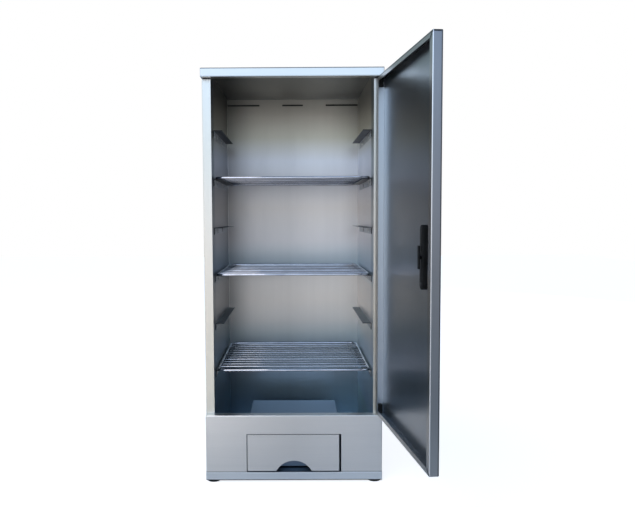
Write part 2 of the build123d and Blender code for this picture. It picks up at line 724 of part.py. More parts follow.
def drawer_box():
    """Open-topped box; its front wall stands back to leave room for fingers."""
    x0, x1 = DRAWER_CENTRE_X - BOX_HALF_W, DRAWER_CENTRE_X + BOX_HALF_W
    bottom = DRAWER_BOTTOM
    outer = block(x0, x1, BOX_FRONT, BOX_BACK, bottom, BOX_TOP)
    inner = block(
        x0 + LINER, x1 - LINER, BOX_FRONT + LINER, BOX_BACK - LINER, bottom + LINER, BOX_TOP + BEYOND,
    )
    behind_face = FRONT + SKIN + SEAT
    arms = []
    for side in (-1, 1):
        wall = DRAWER_CENTRE_X + side * BOX_HALF_W
        tip = DRAWER_CENTRE_X + side * (DRAWER_HALF_W - SKIN - SEAT)
        arms.append(block(wall, wall - side * LINER, behind_face, BOX_FRONT + LINER, ARM_BOTTOM, BOX_TOP))
        arms.append(block(wall, tip, behind_face, behind_face + LINER, ARM_BOTTOM, BOX_TOP))
        arms.append(block(tip - side * LINER, tip, behind_face, FRONT + ARM_END, ARM_BOTTOM, BOX_TOP))
    box = cut(joined([outer, *arms]), [inner])
    return drilled(box, drawer_rivet_places(), (1, 0, 0), RIVET, reach=SHORT_REACH)


def drawer_rivet_places():
    return [
        (DRAWER_CENTRE_X + side * DRAWER_HALF_W, DRAWER_RIVET_Y, z)
        for side in (-1, 1)
        for z in DRAWER_RIVET_Z
    ]


def drawer_rivets():
    """Flush rivets that join the drawer's face to its box at both ends."""
    depth = SKIN + LINER
    pieces = []
    for x, y, z in drawer_rivet_places():
        side = 1 if x > DRAWER_CENTRE_X else -1
        place = (x - side * (depth + SEAT), y, z)
        pieces.append(
            fastener(place, (-side, 0, 0), RIVET["head_r"], RIVET["head_h"], RIVET["shank_r"], depth)
        )
    return group(pieces)


def pellet_tray():
    """Loose slotted tray for the pellets, raised off the drawer's floor on four dimples."""
    gap = LINER + TRAY_GAP
    x0, x1 = DRAWER_CENTRE_X - BOX_HALF_W + gap, DRAWER_CENTRE_X + BOX_HALF_W - gap
    y0, y1 = BOX_FRONT + gap, BOX_BACK - gap
    floor = DRAWER_BOTTOM + LINER
    bottom = floor + TRAY_LIFT
    outer = block(x0, x1, y0, y1, bottom, TRAY_TOP)
    inner = block(x0 + LINER, x1 - LINER, y0 + LINER, y1 - LINER, bottom + LINER, TRAY_TOP + BEYOND)
    feet = [
        rod(TRAY_FOOT_R, (x, y, floor + SEAT), (x, y, bottom + LINER / 2))
        for x in (x0 + TRAY_FOOT_IN, x1 - TRAY_FOOT_IN)
        for y in (y0 + TRAY_FOOT_IN, y1 - TRAY_FOOT_IN)
    ]
    length, width = TRAY_SLOT
    first, last = y0 + TRAY_SLOT_MARGIN, y1 - TRAY_SLOT_MARGIN
    pitch = (last - first) / (TRAY_SLOT_ROWS - 1)
    slots = []
    for row in range(TRAY_SLOT_ROWS):
        low_y = first + row * pitch - width / 2
        for x in (DRAWER_CENTRE_X - TRAY_SLOT_X, DRAWER_CENTRE_X + TRAY_SLOT_X):
            slots.append(
                block(x - length / 2, x + length / 2, low_y, low_y + width,
                      bottom - BEYOND, bottom + LINER + BEYOND)
            )
    return cut(joined([cut(outer, [inner]), *feet]), slots)


# ---- grates ----
def grate_z(level):
    return rail_z(level) + GRATE_CLEAR + GRATE_ROD_R


def grate_frame(level):
    """Closed loop of round rod with rounded corners."""
    z = grate_z(level)
    half = GRATE_HALF_W - GRATE_ROD_R
    y0, y1 = GRATE_FRONT + GRATE_ROD_R, GRATE_BACK - GRATE_ROD_R
    middle = Plane((0, (y0 + y1) / 2, z))
    outline = middle * RectangleRounded(2 * half, y1 - y0, GRATE_CORNER)
    path = outline.wire()
    start = path @ 0
    section = Plane(start, z_dir=path % 0) * Circle(GRATE_ROD_R)
    return sweep(section, path=path, transition=Transition.RIGHT)


def grate_wires(level):
    """Cross wires, evenly spaced, butt-welded between the loop's side rods."""
    z = grate_z(level)
    half = GRATE_HALF_W - 2 * GRATE_ROD_R + WELD
    first = GRATE_FRONT + GRATE_FIRST_WIRE
    last = GRATE_BACK - GRATE_ROD_R - GRATE_LAST_WIRE
    pitch = (last - first) / (GRATE_WIRES - 1)
    wires = [
        rod(GRATE_WIRE_R, (-half, first + step * pitch, z), (half, first + step * pitch, z))
        for step in range(GRATE_WIRES)
    ]
    return group(wires)


# ---- write one file per piece ----
def main():
    os.makedirs("parts", exist_ok=True)
    save("roof_cap", roof_cap())
    save("ceiling_liner", ceiling_liner())
    save("front_header", front_header())
    save("back_panel", back_panel())
    save("back_liner", back_liner())
    save("floor_pan", floor_pan())
    save("base_front_panel", base_front_panel())
    save("base_front_liner", base_front_liner())
    save("plinth_strip", plinth_strip())
    save("drawer_tunnel", drawer_tunnel())
    for name, side in (("left", -1), ("right", 1)):
        save(f"side_panel_{name}", side_panel(side))
        save(f"side_liner_{name}", side_liner(side))
        save(f"drawer_runner_{name}", drawer_runner(side))
        for level in range(1, RAIL_COUNT + 1):
            save(f"rail_{name}_{level}", rail(side, level))
    save("rail_rivets", rail_rivets())
    for name, (side, y) in FEET.items():
        save(f"foot_{name}", foot(side, y))
    save("foot_screws", foot_screws())
    save("cap_screws", cap_screws())
    save("back_screws", back_screws())
    save("base_screws", base_screws())
    save("hinge_pin_top", hinge_pin(CAP_BOTTOM, head_up=True))
    save("hinge_pin_bottom", hinge_pin(BASE_TOP, head_up=False))
    save("hinge_plate_top", hinge_plate(CAP_BOTTOM, above=True))
    save("hinge_plate_bottom", hinge_plate(BASE_TOP, above=False))
    save("catch_magnet_upper", catch_magnet(720.0))
    save("catch_magnet_lower", catch_magnet(340.0))

    save("door_panel", swung(door_panel()))
    save("door_bush_top", swung(door_bush(DOOR_TOP - SKIN - BUSH_H - SEAT)))
    save("door_bush_bottom", swung(door_bush(DOOR_BOTTOM + SKIN + SEAT)))
    save("door_pull", swung(door_pull()))
    save("door_pull_bar", swung(pull_bar()))
    save("door_pull_screws", swung(pull_screws()))

    save("drawer_front", drawer_front())
    save("drawer_box", drawer_box())
    save("drawer_rivets", drawer_rivets())
    save("pellet_tray", pellet_tray())

    for name, level in GRATE_LEVELS.items():
        save(f"grate_{name}_frame", grate_frame(level))
        save(f"grate_{name}_wires", grate_wires(level))


main()
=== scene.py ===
import json
import math
import random

import bmesh
import bpy
from mathutils import Matrix, Vector


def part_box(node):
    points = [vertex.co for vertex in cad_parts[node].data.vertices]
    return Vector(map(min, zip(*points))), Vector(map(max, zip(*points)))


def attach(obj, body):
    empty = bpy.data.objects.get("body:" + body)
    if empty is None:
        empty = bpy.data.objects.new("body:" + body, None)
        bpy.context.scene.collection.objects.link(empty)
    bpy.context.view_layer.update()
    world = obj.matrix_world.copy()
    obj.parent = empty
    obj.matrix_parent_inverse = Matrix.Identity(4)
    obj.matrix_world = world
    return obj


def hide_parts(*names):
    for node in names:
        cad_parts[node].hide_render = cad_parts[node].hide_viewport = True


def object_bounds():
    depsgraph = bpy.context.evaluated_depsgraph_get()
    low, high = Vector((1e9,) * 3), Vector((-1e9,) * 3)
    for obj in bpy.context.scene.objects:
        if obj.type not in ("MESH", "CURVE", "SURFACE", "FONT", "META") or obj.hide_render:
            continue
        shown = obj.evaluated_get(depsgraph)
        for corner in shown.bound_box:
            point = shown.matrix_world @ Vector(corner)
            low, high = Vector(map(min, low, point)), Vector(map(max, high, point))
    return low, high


# Looks of the tall sheet-steel smoker cabinet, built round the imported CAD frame.
# Metres; the front faces -Y, +X is to the right, +Z is up, the floor is Z = 0.
# In order: measures, camera, materials, the finish of each CAD node, finer meshes that stand for some of the
# nodes (grates, feet, screws, moulded parts and magnets), and the floor, lights and surround.

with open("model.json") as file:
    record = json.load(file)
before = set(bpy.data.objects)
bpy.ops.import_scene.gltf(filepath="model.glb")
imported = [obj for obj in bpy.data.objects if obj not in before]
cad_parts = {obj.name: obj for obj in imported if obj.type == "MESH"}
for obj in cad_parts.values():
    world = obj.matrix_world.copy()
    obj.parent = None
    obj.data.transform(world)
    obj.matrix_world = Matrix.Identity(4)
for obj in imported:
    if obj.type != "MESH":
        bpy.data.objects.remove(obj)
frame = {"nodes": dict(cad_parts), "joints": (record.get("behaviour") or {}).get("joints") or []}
cad_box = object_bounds()
nodes = frame["nodes"]
MM = 0.001

# ---- frame measures ----
front_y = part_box("base_front_panel")[0].y
floor_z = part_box("foot_front_left")[0].z
opening_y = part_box("side_liner_left")[0].y  # front of the chamber's walls
wall_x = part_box("rail_right_1")[1].x  # where the rails meet the chamber's walls
rail_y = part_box("rail_right_1")[0].y  # the rails' front ends
grate_y = (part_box("grate_upper_frame")[0].y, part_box("grate_upper_frame")[1].y)
UP = Vector((0.0, 0.0, 1.0))
door_swing = next(joint for joint in frame["joints"] if joint["name"] == "door_swing")
hinge = Vector(door_swing["pos_m"])
hinge_level = Vector((hinge.x, hinge.y, 0.0))
door_angle = -math.radians(door_swing["range_deg"][0])  # how far the stored door is open
door_inwards = Vector((-math.sin(door_angle), math.cos(door_angle), 0.0))
door_along = Vector((-math.cos(door_angle), -math.sin(door_angle), 0.0))  # from the hinge
door_z = (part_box("door_panel")[0].z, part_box("door_panel")[1].z)
DOOR_PAST_HINGE = 5.0 * MM  # from the hinge's axis to the door's hinged edge
DOOR_IN_FRONT = 9.0 * MM  # from the hinge's axis to the door's face
DOOR_WIDTH = 399.5 * MM
DOOR_THICK = 18.0 * MM

# ---- camera ----
CAMERA_BACK = 1.5554  # from the plane of the cabinet's front
CAMERA_X = 0.0028
CAMERA_Z = 0.5990
CAMERA_PITCH = 0.0691  # radians, down
CAMERA_YAW = 0.0049  # radians, to the left
CAMERA_ROLL = -0.0050
LENS = 39.81  # mm, on a sensor of this width
SENSOR = 36.0
SHIFT = (0.0419, 0.0191)
CLIP = (0.05, 60.0)


def add_camera():
    data = bpy.data.cameras.new("camera")
    data.sensor_fit = "HORIZONTAL"
    data.sensor_width = SENSOR
    data.lens = LENS
    data.shift_x, data.shift_y = SHIFT
    data.clip_start, data.clip_end = CLIP
    camera = bpy.data.objects.new("camera", data)
    bpy.context.scene.collection.objects.link(camera)
    ahead = Vector((
        -math.sin(CAMERA_YAW) * math.cos(CAMERA_PITCH),
        math.cos(CAMERA_YAW) * math.cos(CAMERA_PITCH),
        -math.sin(CAMERA_PITCH),
    ))
    right = Vector((math.cos(CAMERA_YAW), math.sin(CAMERA_YAW), 0.0))
    up = right.cross(ahead)
    rolled_right = right * math.cos(CAMERA_ROLL) + up * math.sin(CAMERA_ROLL)
    rolled_up = up * math.cos(CAMERA_ROLL) - right * math.sin(CAMERA_ROLL)
    turn = Matrix((rolled_right, rolled_up, -ahead)).transposed()
    place = Matrix.Translation((CAMERA_X, front_y - CAMERA_BACK, CAMERA_Z))
    camera.matrix_world = place @ turn.to_4x4()
    bpy.context.scene.camera = camera


# ---- node materials ----
class Tree:
    """A few short calls for building the nodes of a material, or of the surround."""

    def __init__(self, owner, coordinates):
        owner.use_nodes = True
        self.nodes = owner.node_tree.nodes
        self.links = owner.node_tree.links
        self.nodes.clear()
        self.place = self.nodes.new("ShaderNodeTexCoord").outputs[coordinates]

    def put(self, socket, value):
        if isinstance(value, bpy.types.NodeSocket):
            self.links.new(value, socket)
        else:
            socket.default_value = value

    def stretched(self, scale):
        node = self.nodes.new("ShaderNodeMapping")
        self.links.new(self.place, node.inputs["Vector"])
        node.inputs["Scale"].default_value = scale
        return node.outputs[0]

    def noise(self, scale, detail=2.0, rough=0.5, where=None, distortion=0.0):
        node = self.nodes.new("ShaderNodeTexNoise")
        self.put(node.inputs["Vector"], where or self.place)
        node.inputs["Scale"].default_value = scale
        node.inputs["Detail"].default_value = detail
        node.inputs["Roughness"].default_value = rough
        node.inputs["Distortion"].default_value = distortion
        return node.outputs["Fac"]

    def span(self, value, lo, hi, to_lo, to_hi):
        node = self.nodes.new("ShaderNodeMapRange")
        self.put(node.inputs["Value"], value)
        for name, number in zip(("From Min", "From Max", "To Min", "To Max"), (lo, hi, to_lo, to_hi)):
            node.inputs[name].default_value = number
        return node.outputs["Result"]

    def math(self, kind, a, b=0.0):
        node = self.nodes.new("ShaderNodeMath")
        node.operation = kind
        self.put(node.inputs[0], a)
        self.put(node.inputs[1], b)
        return node.outputs[0]

    def plus(self, a, b):
        return self.math("ADD", a, b)

    def minus(self, a, b):
        return self.math("SUBTRACT", a, b)

    def times(self, a, b):
        return self.math("MULTIPLY", a, b)

    def unsigned(self, value):
        return self.math("ABSOLUTE", value)

    def below(self, value, limit):
        """1 where value is under a limit, and 0 elsewhere."""
        return self.math("LESS_THAN", value, limit)

    def above(self, value, limit):
        """1 where value is over a limit, and 0 elsewhere."""
        return self.math("GREATER_THAN", value, limit)

    def axis(self, name):
        node = self.nodes.new("ShaderNodeSeparateXYZ")
        self.links.new(self.place, node.inputs[0])
        return node.outputs[name]

    def along(self, origin, direction):
        """Distance from a point, measured along a direction."""
        shifted = self.nodes.new("ShaderNodeVectorMath")
        shifted.operation = "SUBTRACT"
        self.links.new(self.place, shifted.inputs[0])
        shifted.inputs[1].default_value = origin
        node = self.nodes.new("ShaderNodeVectorMath")
        node.operation = "DOT_PRODUCT"
        self.links.new(shifted.outputs[0], node.inputs[0])
        node.inputs[1].default_value = direction
        return node.outputs["Value"]

    def within(self, value, lo, hi):
        """1 between two limits, and 0 outside them."""
        return self.times(self.above(value, lo), self.below(value, hi))

    def bump(self, height, distance, normal=None):
        node = self.nodes.new("ShaderNodeBump")
        self.put(node.inputs["Height"], height)
        node.inputs["Strength"].default_value = 1.0
        node.inputs["Distance"].default_value = distance
        if normal is not None:
            self.links.new(normal, node.inputs["Normal"])
        return node.outputs[0]


class Material(Tree):
    """The nodes of one material, which end in a Principled shader."""

    def __init__(self, name):
        self.material = bpy.data.materials.new(name)
        super().__init__(self.material, "Object")
        out = self.nodes.new("ShaderNodeOutputMaterial")
        self.shader = self.nodes.new("ShaderNodeBsdfPrincipled")
        self.links.new(self.shader.outputs[0], out.inputs[0])

    def set(self, **values):
        for name, value in values.items():
            self.put(self.shader.inputs[name.replace("_", " ")], value)


MIX_FACTOR, MIX_A, MIX_B, MIX_RESULT = 0, 6, 7, 2  # the colour sockets of a Mix node, whose names repeat


def mix_colour(tree, factor, a, b, kind="MIX"):
    node = tree.nodes.new("ShaderNodeMix")
    node.data_type = "RGBA"
    node.blend_type = kind
    tree.put(node.inputs[MIX_FACTOR], factor)
    tree.put(node.inputs[MIX_A], a)
    tree.put(node.inputs[MIX_B], b)
    return node.outputs[MIX_RESULT]


def multiply_colour(tree, a, b):
    return mix_colour(tree, 1.0, a, b, "MULTIPLY")


def stops_on(tree, value, lo, hi, stops):
    """A colour that changes with value, between stops given in value's own units."""
    ramp = tree.nodes.new("ShaderNodeValToRGB")
    while len(ramp.color_ramp.elements) < len(stops):
        ramp.color_ramp.elements.new(0.5)
    for element, (at, colour) in zip(ramp.color_ramp.elements, stops):
        element.position = (at - lo) / (hi - lo)
        element.color = (*colour, 1.0)
    tree.put(ramp.inputs[0], tree.span(value, lo, hi, 0.0, 1.0))
    return ramp.outputs[0]


EDGE_SAMPLES = 4
EDGE_LEAN = (0.98, 0.75)  # cosines of the lean where the mask starts, and where it is full


def edge_mask(tree, radius):
    """1 along outer edges, 0 on flat faces: how far a rounded normal leans from the flat one."""
    rounded = tree.nodes.new("ShaderNodeBevel")
    rounded.samples = EDGE_SAMPLES
    rounded.inputs["Radius"].default_value = radius
    flat = tree.nodes.new("ShaderNodeNewGeometry")
    dot = tree.nodes.new("ShaderNodeVectorMath")
    dot.operation = "DOT_PRODUCT"
    tree.links.new(rounded.outputs[0], dot.inputs[0])
    tree.links.new(flat.outputs["Normal"], dot.inputs[1])
    return tree.span(dot.outputs["Value"], *EDGE_LEAN, 0.0, 1.0)


def grey(value, tint=(1.0, 1.0, 1.0)):
    return (value * tint[0], value * tint[1], value * tint[2], 1.0)


def even(value):
    """A grey for a stop, which takes no alpha."""
    return (value, value, value)


NEUTRAL = (1.0, 1.0, 1.0)
COOL = (0.975, 1.0, 1.03)
# a blue tint for painted shade and reflection in the lower chamber and the drawer
SHADE_BLUE = (0.80, 1.0, 1.24)
WARM = (1.02, 0.99, 0.96)
LESS_WARM = (1.01, 0.99, 0.96)
PLINTH_TINT = (0.97, 1.0, 1.02)
WIRE_TINT = (1.0, 0.99, 1.06)
SOOT_TINT = (1.1, 1.0, 0.92)
DUST_TINT = (1.05, 1.0, 0.93)
GRAIN_ACROSS, GRAIN_ALONG = 1500.0, 16.0  # scales of the sheet's grain
BAND_ACROSS, BAND_ALONG = 60.0, 0.9  # and of its broad bands
SOOT_DARK = 0.045
GRAIN_HIGH = 0.0015 * MM  # height of the grain
WAVE_HIGH = 0.12 * MM  # and of the sheet's broad waves


def sheet_steel(name, bright, rough, grain, waviness=WAVE_HIGH, soot=0.0, tint=COOL, shade=None):
    """Satin rolled sheet: fine grain along one axis, faint bands, handling marks, and edges that are
    polished by wear and painted lighter as a highlight.

    grain is the axis that the grain runs along; soot darkens it in soft clouds. shade, if given,
    takes the tree and gives a colour that the sheet's own is multiplied by, place by place."""
    tree = Material(name)
    fine = [GRAIN_ACROSS] * 3
    bands = [BAND_ACROSS] * 3
    fine["xyz".index(grain)] = GRAIN_ALONG
    bands["xyz".index(grain)] = BAND_ALONG
    hair = tree.noise(1.0, detail=2.0, rough=0.6, where=tree.stretched(fine))
    band = tree.noise(1.0, detail=2.0, rough=0.5, where=tree.stretched(bands))
    cloud = tree.noise(4.5, detail=3.0, rough=0.5)
    smear = tree.noise(19.0, detail=5.0, rough=0.6, distortion=0.8)
    wave = tree.noise(2.6, detail=0.0, rough=0.4)
    edge = edge_mask(tree, 1.4 * MM)

    tone = tree.times(band, 0.35)
    tone = tree.plus(tone, tree.times(cloud, 0.35))
    tone = tree.plus(tone, tree.times(hair, 0.30))
    dull, clear = grey(bright * 0.95, tint), grey(bright * 1.04, tint)
    base = mix_colour(tree, tree.span(tone, 0.3, 0.7, 0.0, 1.0), dull, clear)
    if soot:
        grime = tree.noise(14.0, detail=5.0, rough=0.65)
        cover = tree.span(grime, 0.3, 0.62, soot * 0.55, soot)
        base = mix_colour(tree, cover, base, grey(SOOT_DARK, SOOT_TINT))
    # painted highlight: the colour is lighter along edges
    base = mix_colour(tree, tree.times(edge, 0.4), base, grey(min(0.92, bright * 1.25)))
    if shade:
        base = multiply_colour(tree, base, shade(tree))

    roughness = tree.span(cloud, 0.3, 0.7, rough - 0.015, rough + 0.02)
    roughness = tree.plus(roughness, tree.span(band, 0.3, 0.7, -0.010, 0.010))
    roughness = tree.plus(roughness, tree.span(smear, 0.58, 0.8, 0.0, 0.035))
    roughness = tree.minus(roughness, tree.times(edge, 0.06))

    normal = tree.bump(wave, waviness)
    normal = tree.bump(hair, GRAIN_HIGH, normal)
    tree.set(Base_Color=base, Roughness=roughness, Normal=normal, Metallic=1.0)
    return tree.material


WIRE_REFLECTION_BANDS = [  # painted reflections: Y, from the grate's front to its back, and share of the wire's brightness there
    (grate_y[0], 1.1),
    (-0.148, 0.50),
    (-0.115, 1.2),
    (-0.085, 0.45),
    (-0.040, 1.1),
    (0.005, 0.45),
    (0.050, 1.0),
    (0.095, 0.50),
    (0.145, 1.1),
    (grate_y[1], 1.2),
]


def chrome(name):
    """Bright plated wire, a little smoked, duller in patches, with painted reflections in lighter and darker
    bands across the grate.
    """
    tree = Material(name)
    cloud = tree.noise(28.0, detail=3.0)
    patch = tree.noise(9.0, detail=2.0)
    smoke_and_shade, clear = grey(0.50, WIRE_TINT), grey(0.66, WIRE_TINT)
    base = mix_colour(tree, tree.span(cloud, 0.35, 0.7, 0.0, 1.0), smoke_and_shade, clear)
    bands = [(at, even(share)) for at, share in WIRE_REFLECTION_BANDS]
    # painted reflections: lighter and darker bands across the grate
    base = multiply_colour(tree, base, stops_on(tree, tree.axis("Y"), *grate_y, bands))
    roughness = tree.plus(tree.span(cloud, 0.3, 0.7, 0.04, 0.08), tree.span(patch, 0.5, 0.8, 0.0, 0.06))
    tree.set(Base_Color=base, Roughness=roughness, Normal=tree.bump(cloud, 0.01 * MM), Metallic=1.0)
    return tree.material


def black_plastic(name):
    tree = Material(name)
    spark = tree.noise(1600.0, detail=3.0, rough=0.6)
    cloud = tree.noise(40.0, detail=3.0)
    edge = edge_mask(tree, 1.2 * MM)
    base = mix_colour(tree, tree.span(cloud, 0.3, 0.7, 0.0, 1.0), grey(0.003), grey(0.007))
    # painted highlight: the colour is lighter along edges
    base = mix_colour(tree, tree.times(edge, 0.5), base, grey(0.03))
    roughness = tree.plus(tree.span(cloud, 0.3, 0.7, 0.40, 0.50), tree.span(spark, 0.3, 0.7, -0.04, 0.04))
    tree.set(Base_Color=base, Roughness=roughness, Normal=tree.bump(spark, 0.03 * MM))
    tree.set(IOR=1.45, Specular_IOR_Level=0.2)
    return tree.material


def rubber(name):
    tree = Material(name)
    grit = tree.noise(900.0, detail=4.0, rough=0.7)
    dust = tree.noise(70.0, detail=4.0, rough=0.7)
    dusty = tree.span(dust, 0.45, 0.75, 0.0, 1.0)
    base = mix_colour(tree, dusty, grey(0.012), grey(0.035, DUST_TINT))
    roughness = tree.span(dust, 0.3, 0.7, 0.72, 0.9)
    tree.set(Base_Color=base, Roughness=roughness, Normal=tree.bump(grit, 0.06 * MM))
    tree.set(IOR=1.5, Specular_IOR_Level=0.3)
    return tree.material


def zinc(name):
    tree = Material(name)
    cloud = tree.noise(180.0, detail=4.0, rough=0.6)
    base = mix_colour(tree, tree.span(cloud, 0.3, 0.7, 0.0, 1.0), grey(0.516, COOL), grey(0.648))
    roughness = tree.span(cloud, 0.3, 0.7, 0.26, 0.42)
    tree.set(Base_Color=base, Roughness=roughness, Normal=tree.bump(cloud, 0.02 * MM), Metallic=1.0)
    return tree.material


def magnet(name):
    tree = Material(name)
    grit = tree.noise(700.0, detail=4.0, rough=0.7)
    base = mix_colour(tree, tree.span(grit, 0.3, 0.7, 0.0, 1.0), grey(0.03), grey(0.07))
    roughness = tree.span(grit, 0.3, 0.7, 0.55, 0.75)
    tree.set(Base_Color=base, Roughness=roughness, Normal=tree.bump(grit, 0.05 * MM), Metallic=0.4)
    return tree.material


EDGE_LINE = 2.2 * MM  # width of the painted shade or painted highlight line along a fold
SKIN = 0.6 * MM  # half of the outer skins' thickness
DOOR_INNER = DOOR_THICK - DOOR_IN_FRONT  # from the hinge's axis to the plane of the door's lips
LIP_SKIN = 0.8 * MM  # what is this near to the free edge's or the lips' outer face is on it
# painted shade on the door's lips
LIP_SHADE = (0.80, 0.76, 0.72, 1.0)
# painted shade lines and a painted highlight; the dark line also marks the mitres' seams
DARK_LINE, DIM_LINE, BEND_HIGHLIGHT = grey(0.2), grey(0.45), grey(1.3)
MITRE_LONG = 14.0 * MM  # how far each mitre's seam runs in from the free edge
# painted shade inside the door's hollow
HOLLOW_DARK, HOLLOW_PALE = (0.54, 0.56, 0.58, 1.0), (0.68, 0.70, 0.72, 1.0)
HOLLOW_LIT = (0.90, 0.95, 1.0, 1.0)  # painted light beside the hinge
LIT_STRIP = (0.02, 0.065)  # from the hinge: where that starts to fade, and its end
# painted shade on the door's outer faces, by height
DOOR_SHADE_BY_HEIGHT = [(0.20, even(0.84)), (0.50, (0.76, 0.75, 0.74)), (0.85, even(0.98))]


def door_lines(tree, along, depth):
    """Painted shade lines along the door's top and free edge, dark seams along its mitres, a painted
    highlight along its inner fold, and painted shade on its lips.
    """
    to_side = tree.minus(DOOR_WIDTH - DOOR_PAST_HINGE, along)
    to_top = tree.minus(door_z[1], tree.axis("Z"))
    to_bottom = tree.minus(tree.axis("Z"), door_z[0])
    on_edge = tree.below(to_side, LIP_SKIN)
    on_lips = tree.above(depth, DOOR_INNER - LIP_SKIN)
    # painted shade: the lips are darker
    colour = mix_colour(tree, on_lips, grey(1.0), LIP_SHADE)
    # painted shade: a dark line along the door's top
    colour = mix_colour(tree, tree.below(to_top, 1.6 * EDGE_LINE), colour, DARK_LINE)
    # painted shade: a dimmer line on the free edge beside the door's face
    near_face = tree.times(on_edge, tree.below(depth, 1.3 * EDGE_LINE - DOOR_IN_FRONT))
    colour = mix_colour(tree, near_face, colour, DIM_LINE)
    # painted highlight along the free edge's inner fold
    bend_lit = tree.above(depth, DOOR_INNER - EDGE_LINE)
    colour = mix_colour(tree, tree.times(on_edge, bend_lit), colour, BEND_HIGHLIGHT)
    for to_end in (to_top, to_bottom):
        from_mitre = tree.unsigned(tree.minus(to_side, to_end))
        seam = tree.times(on_lips, tree.below(from_mitre, 2.0 * EDGE_LINE))
        colour = mix_colour(tree, tree.times(seam, tree.below(to_side, MITRE_LONG)), colour, DARK_LINE)
    return colour


def inside_door(tree):
    """Painted shade in the door's hollow, with a painted light strip beside the hinge; the folds and the
    lips are left out of it, and the outer faces get painted shade by height.
    """
    along = tree.along(hinge_level, door_along)
    depth = tree.along(hinge_level, door_inwards)
    inner = tree.within(along, SKIN - DOOR_PAST_HINGE, DOOR_WIDTH - DOOR_PAST_HINGE - SKIN)
    deep = tree.within(depth, SKIN - DOOR_IN_FRONT, DOOR_INNER - SKIN)
    level = tree.within(tree.axis("Z"), door_z[0] + SKIN, door_z[1] - SKIN)
    inside = tree.times(tree.times(inner, deep), level)
    # painted shade: the door's hollow is darker
    smoke_and_shade = mix_colour(tree, tree.noise(5.0, detail=3.0), HOLLOW_DARK, HOLLOW_PALE)
    # painted light: a lighter strip beside the hinge
    smoke_and_shade = mix_colour(tree, tree.span(along, *LIT_STRIP, 1.0, 0.0), smoke_and_shade, HOLLOW_LIT)
    outside = stops_on(tree, tree.axis("Z"), floor_z, cad_box[1].z, DOOR_SHADE_BY_HEIGHT)
    return multiply_colour(tree, mix_colour(tree, inside, outside, smoke_and_shade), door_lines(tree, along, depth))


WALL_SHADE_BY_HEIGHT = [  # height and tint, as painted shade and reflection: bluer low down, browner at the top
    (0.11, (0.62, 0.76, 0.82)),
    (0.16, (0.53, 0.61, 0.67)),
    (0.235, (0.50, 0.55, 0.57)),
    (0.27, (0.58, 0.63, 0.63)),
    (0.31, (0.68, 0.65, 0.61)),
    (0.37, (0.72, 0.66, 0.60)),
    (0.435, (0.68, 0.64, 0.60)),
    (0.465, (0.50, 0.56, 0.59)),
    (0.50, (0.56, 0.585, 0.60)),
    (0.535, (0.63, 0.605, 0.60)),
    (0.625, (0.63, 0.58, 0.54)),
    (0.755, (0.66, 0.67, 0.71)),
    (0.82, (0.56, 0.53, 0.44)),
    (0.875, (0.58, 0.54, 0.46)),
    (0.92, (0.45, 0.42, 0.36)),
]
BESIDE_WALL = 1.5 * MM  # the side liners lie this near to wall_x, and the back liner further in
WALL_SHADE_BY_WIDTH = [  # painted shade and reflection: X, from the left side liner to the right one, and share of the brightness there
    (-wall_x, 0.95),
    (BESIDE_WALL - wall_x, 0.57),
    (-0.148, 0.77),
    (-0.12, 0.89),
    (-0.01, 0.90),
    (0.02, 0.975),
    (0.076, 1.09),
    (0.132, 1.11),
    (wall_x - BESIDE_WALL, 1.03),
    (wall_x, 1.0),
]
# painted shade in the chamber's upper corners
CORNER_SHADE = (0.20, 0.20, 0.18, 1.0)
CORNER_SHADE_ACROSS = (0.10, 0.18)  # from the middle: where the upper corners' painted shade starts, and where it is full
CORNER_SHADE_ABOVE = (0.78, 0.90)  # heights between which it comes in
# painted shade along the walls' front edges
FRONT_SHADE = (0.10, 0.15, 0.17, 1.0)
FRONT_SHADE_DEEP = (40.0 * MM, 65.0 * MM)  # from the opening: where the strip starts to fade, and its end
FRONT_SHADE_ABOVE = (0.35, 0.75)  # heights between which it gets darker


def painted_wall_shade(gain):
    """Painted shade and reflection on the chamber's liners: brightness by height and width, browner near the
    top and bluer near the bottom, painted shade in the upper corners and along the front edges.
    """
    by_width = [(at, even(share)) for at, share in WALL_SHADE_BY_WIDTH]

    def shade(tree):
        height = tree.axis("Z")
        colour = stops_on(tree, height, floor_z, cad_box[1].z, WALL_SHADE_BY_HEIGHT)
        colour = multiply_colour(tree, colour, grey(gain))
        colour = multiply_colour(tree, colour, stops_on(tree, tree.axis("X"), -wall_x, wall_x, by_width))
        from_middle = tree.unsigned(tree.axis("X"))
        to_corner = tree.span(from_middle, *CORNER_SHADE_ACROSS, 0.0, 1.0)
        corner = tree.times(to_corner, tree.span(height, *CORNER_SHADE_ABOVE, 0.0, 0.6))
        colour = mix_colour(tree, corner, colour, CORNER_SHADE)
        fade_from, fade_to = (opening_y + deep for deep in FRONT_SHADE_DEEP)
        near_front = tree.span(tree.axis("Y"), fade_from, fade_to, 1.0, 0.0)
        strip = tree.times(near_front, tree.span(height, *FRONT_SHADE_ABOVE, 0.15, 0.75))
        return mix_colour(tree, strip, colour, FRONT_SHADE)
    return shade


FRONT_FACE = 1.8 * MM  # how deep a piece's front face and its folds' roundings reach


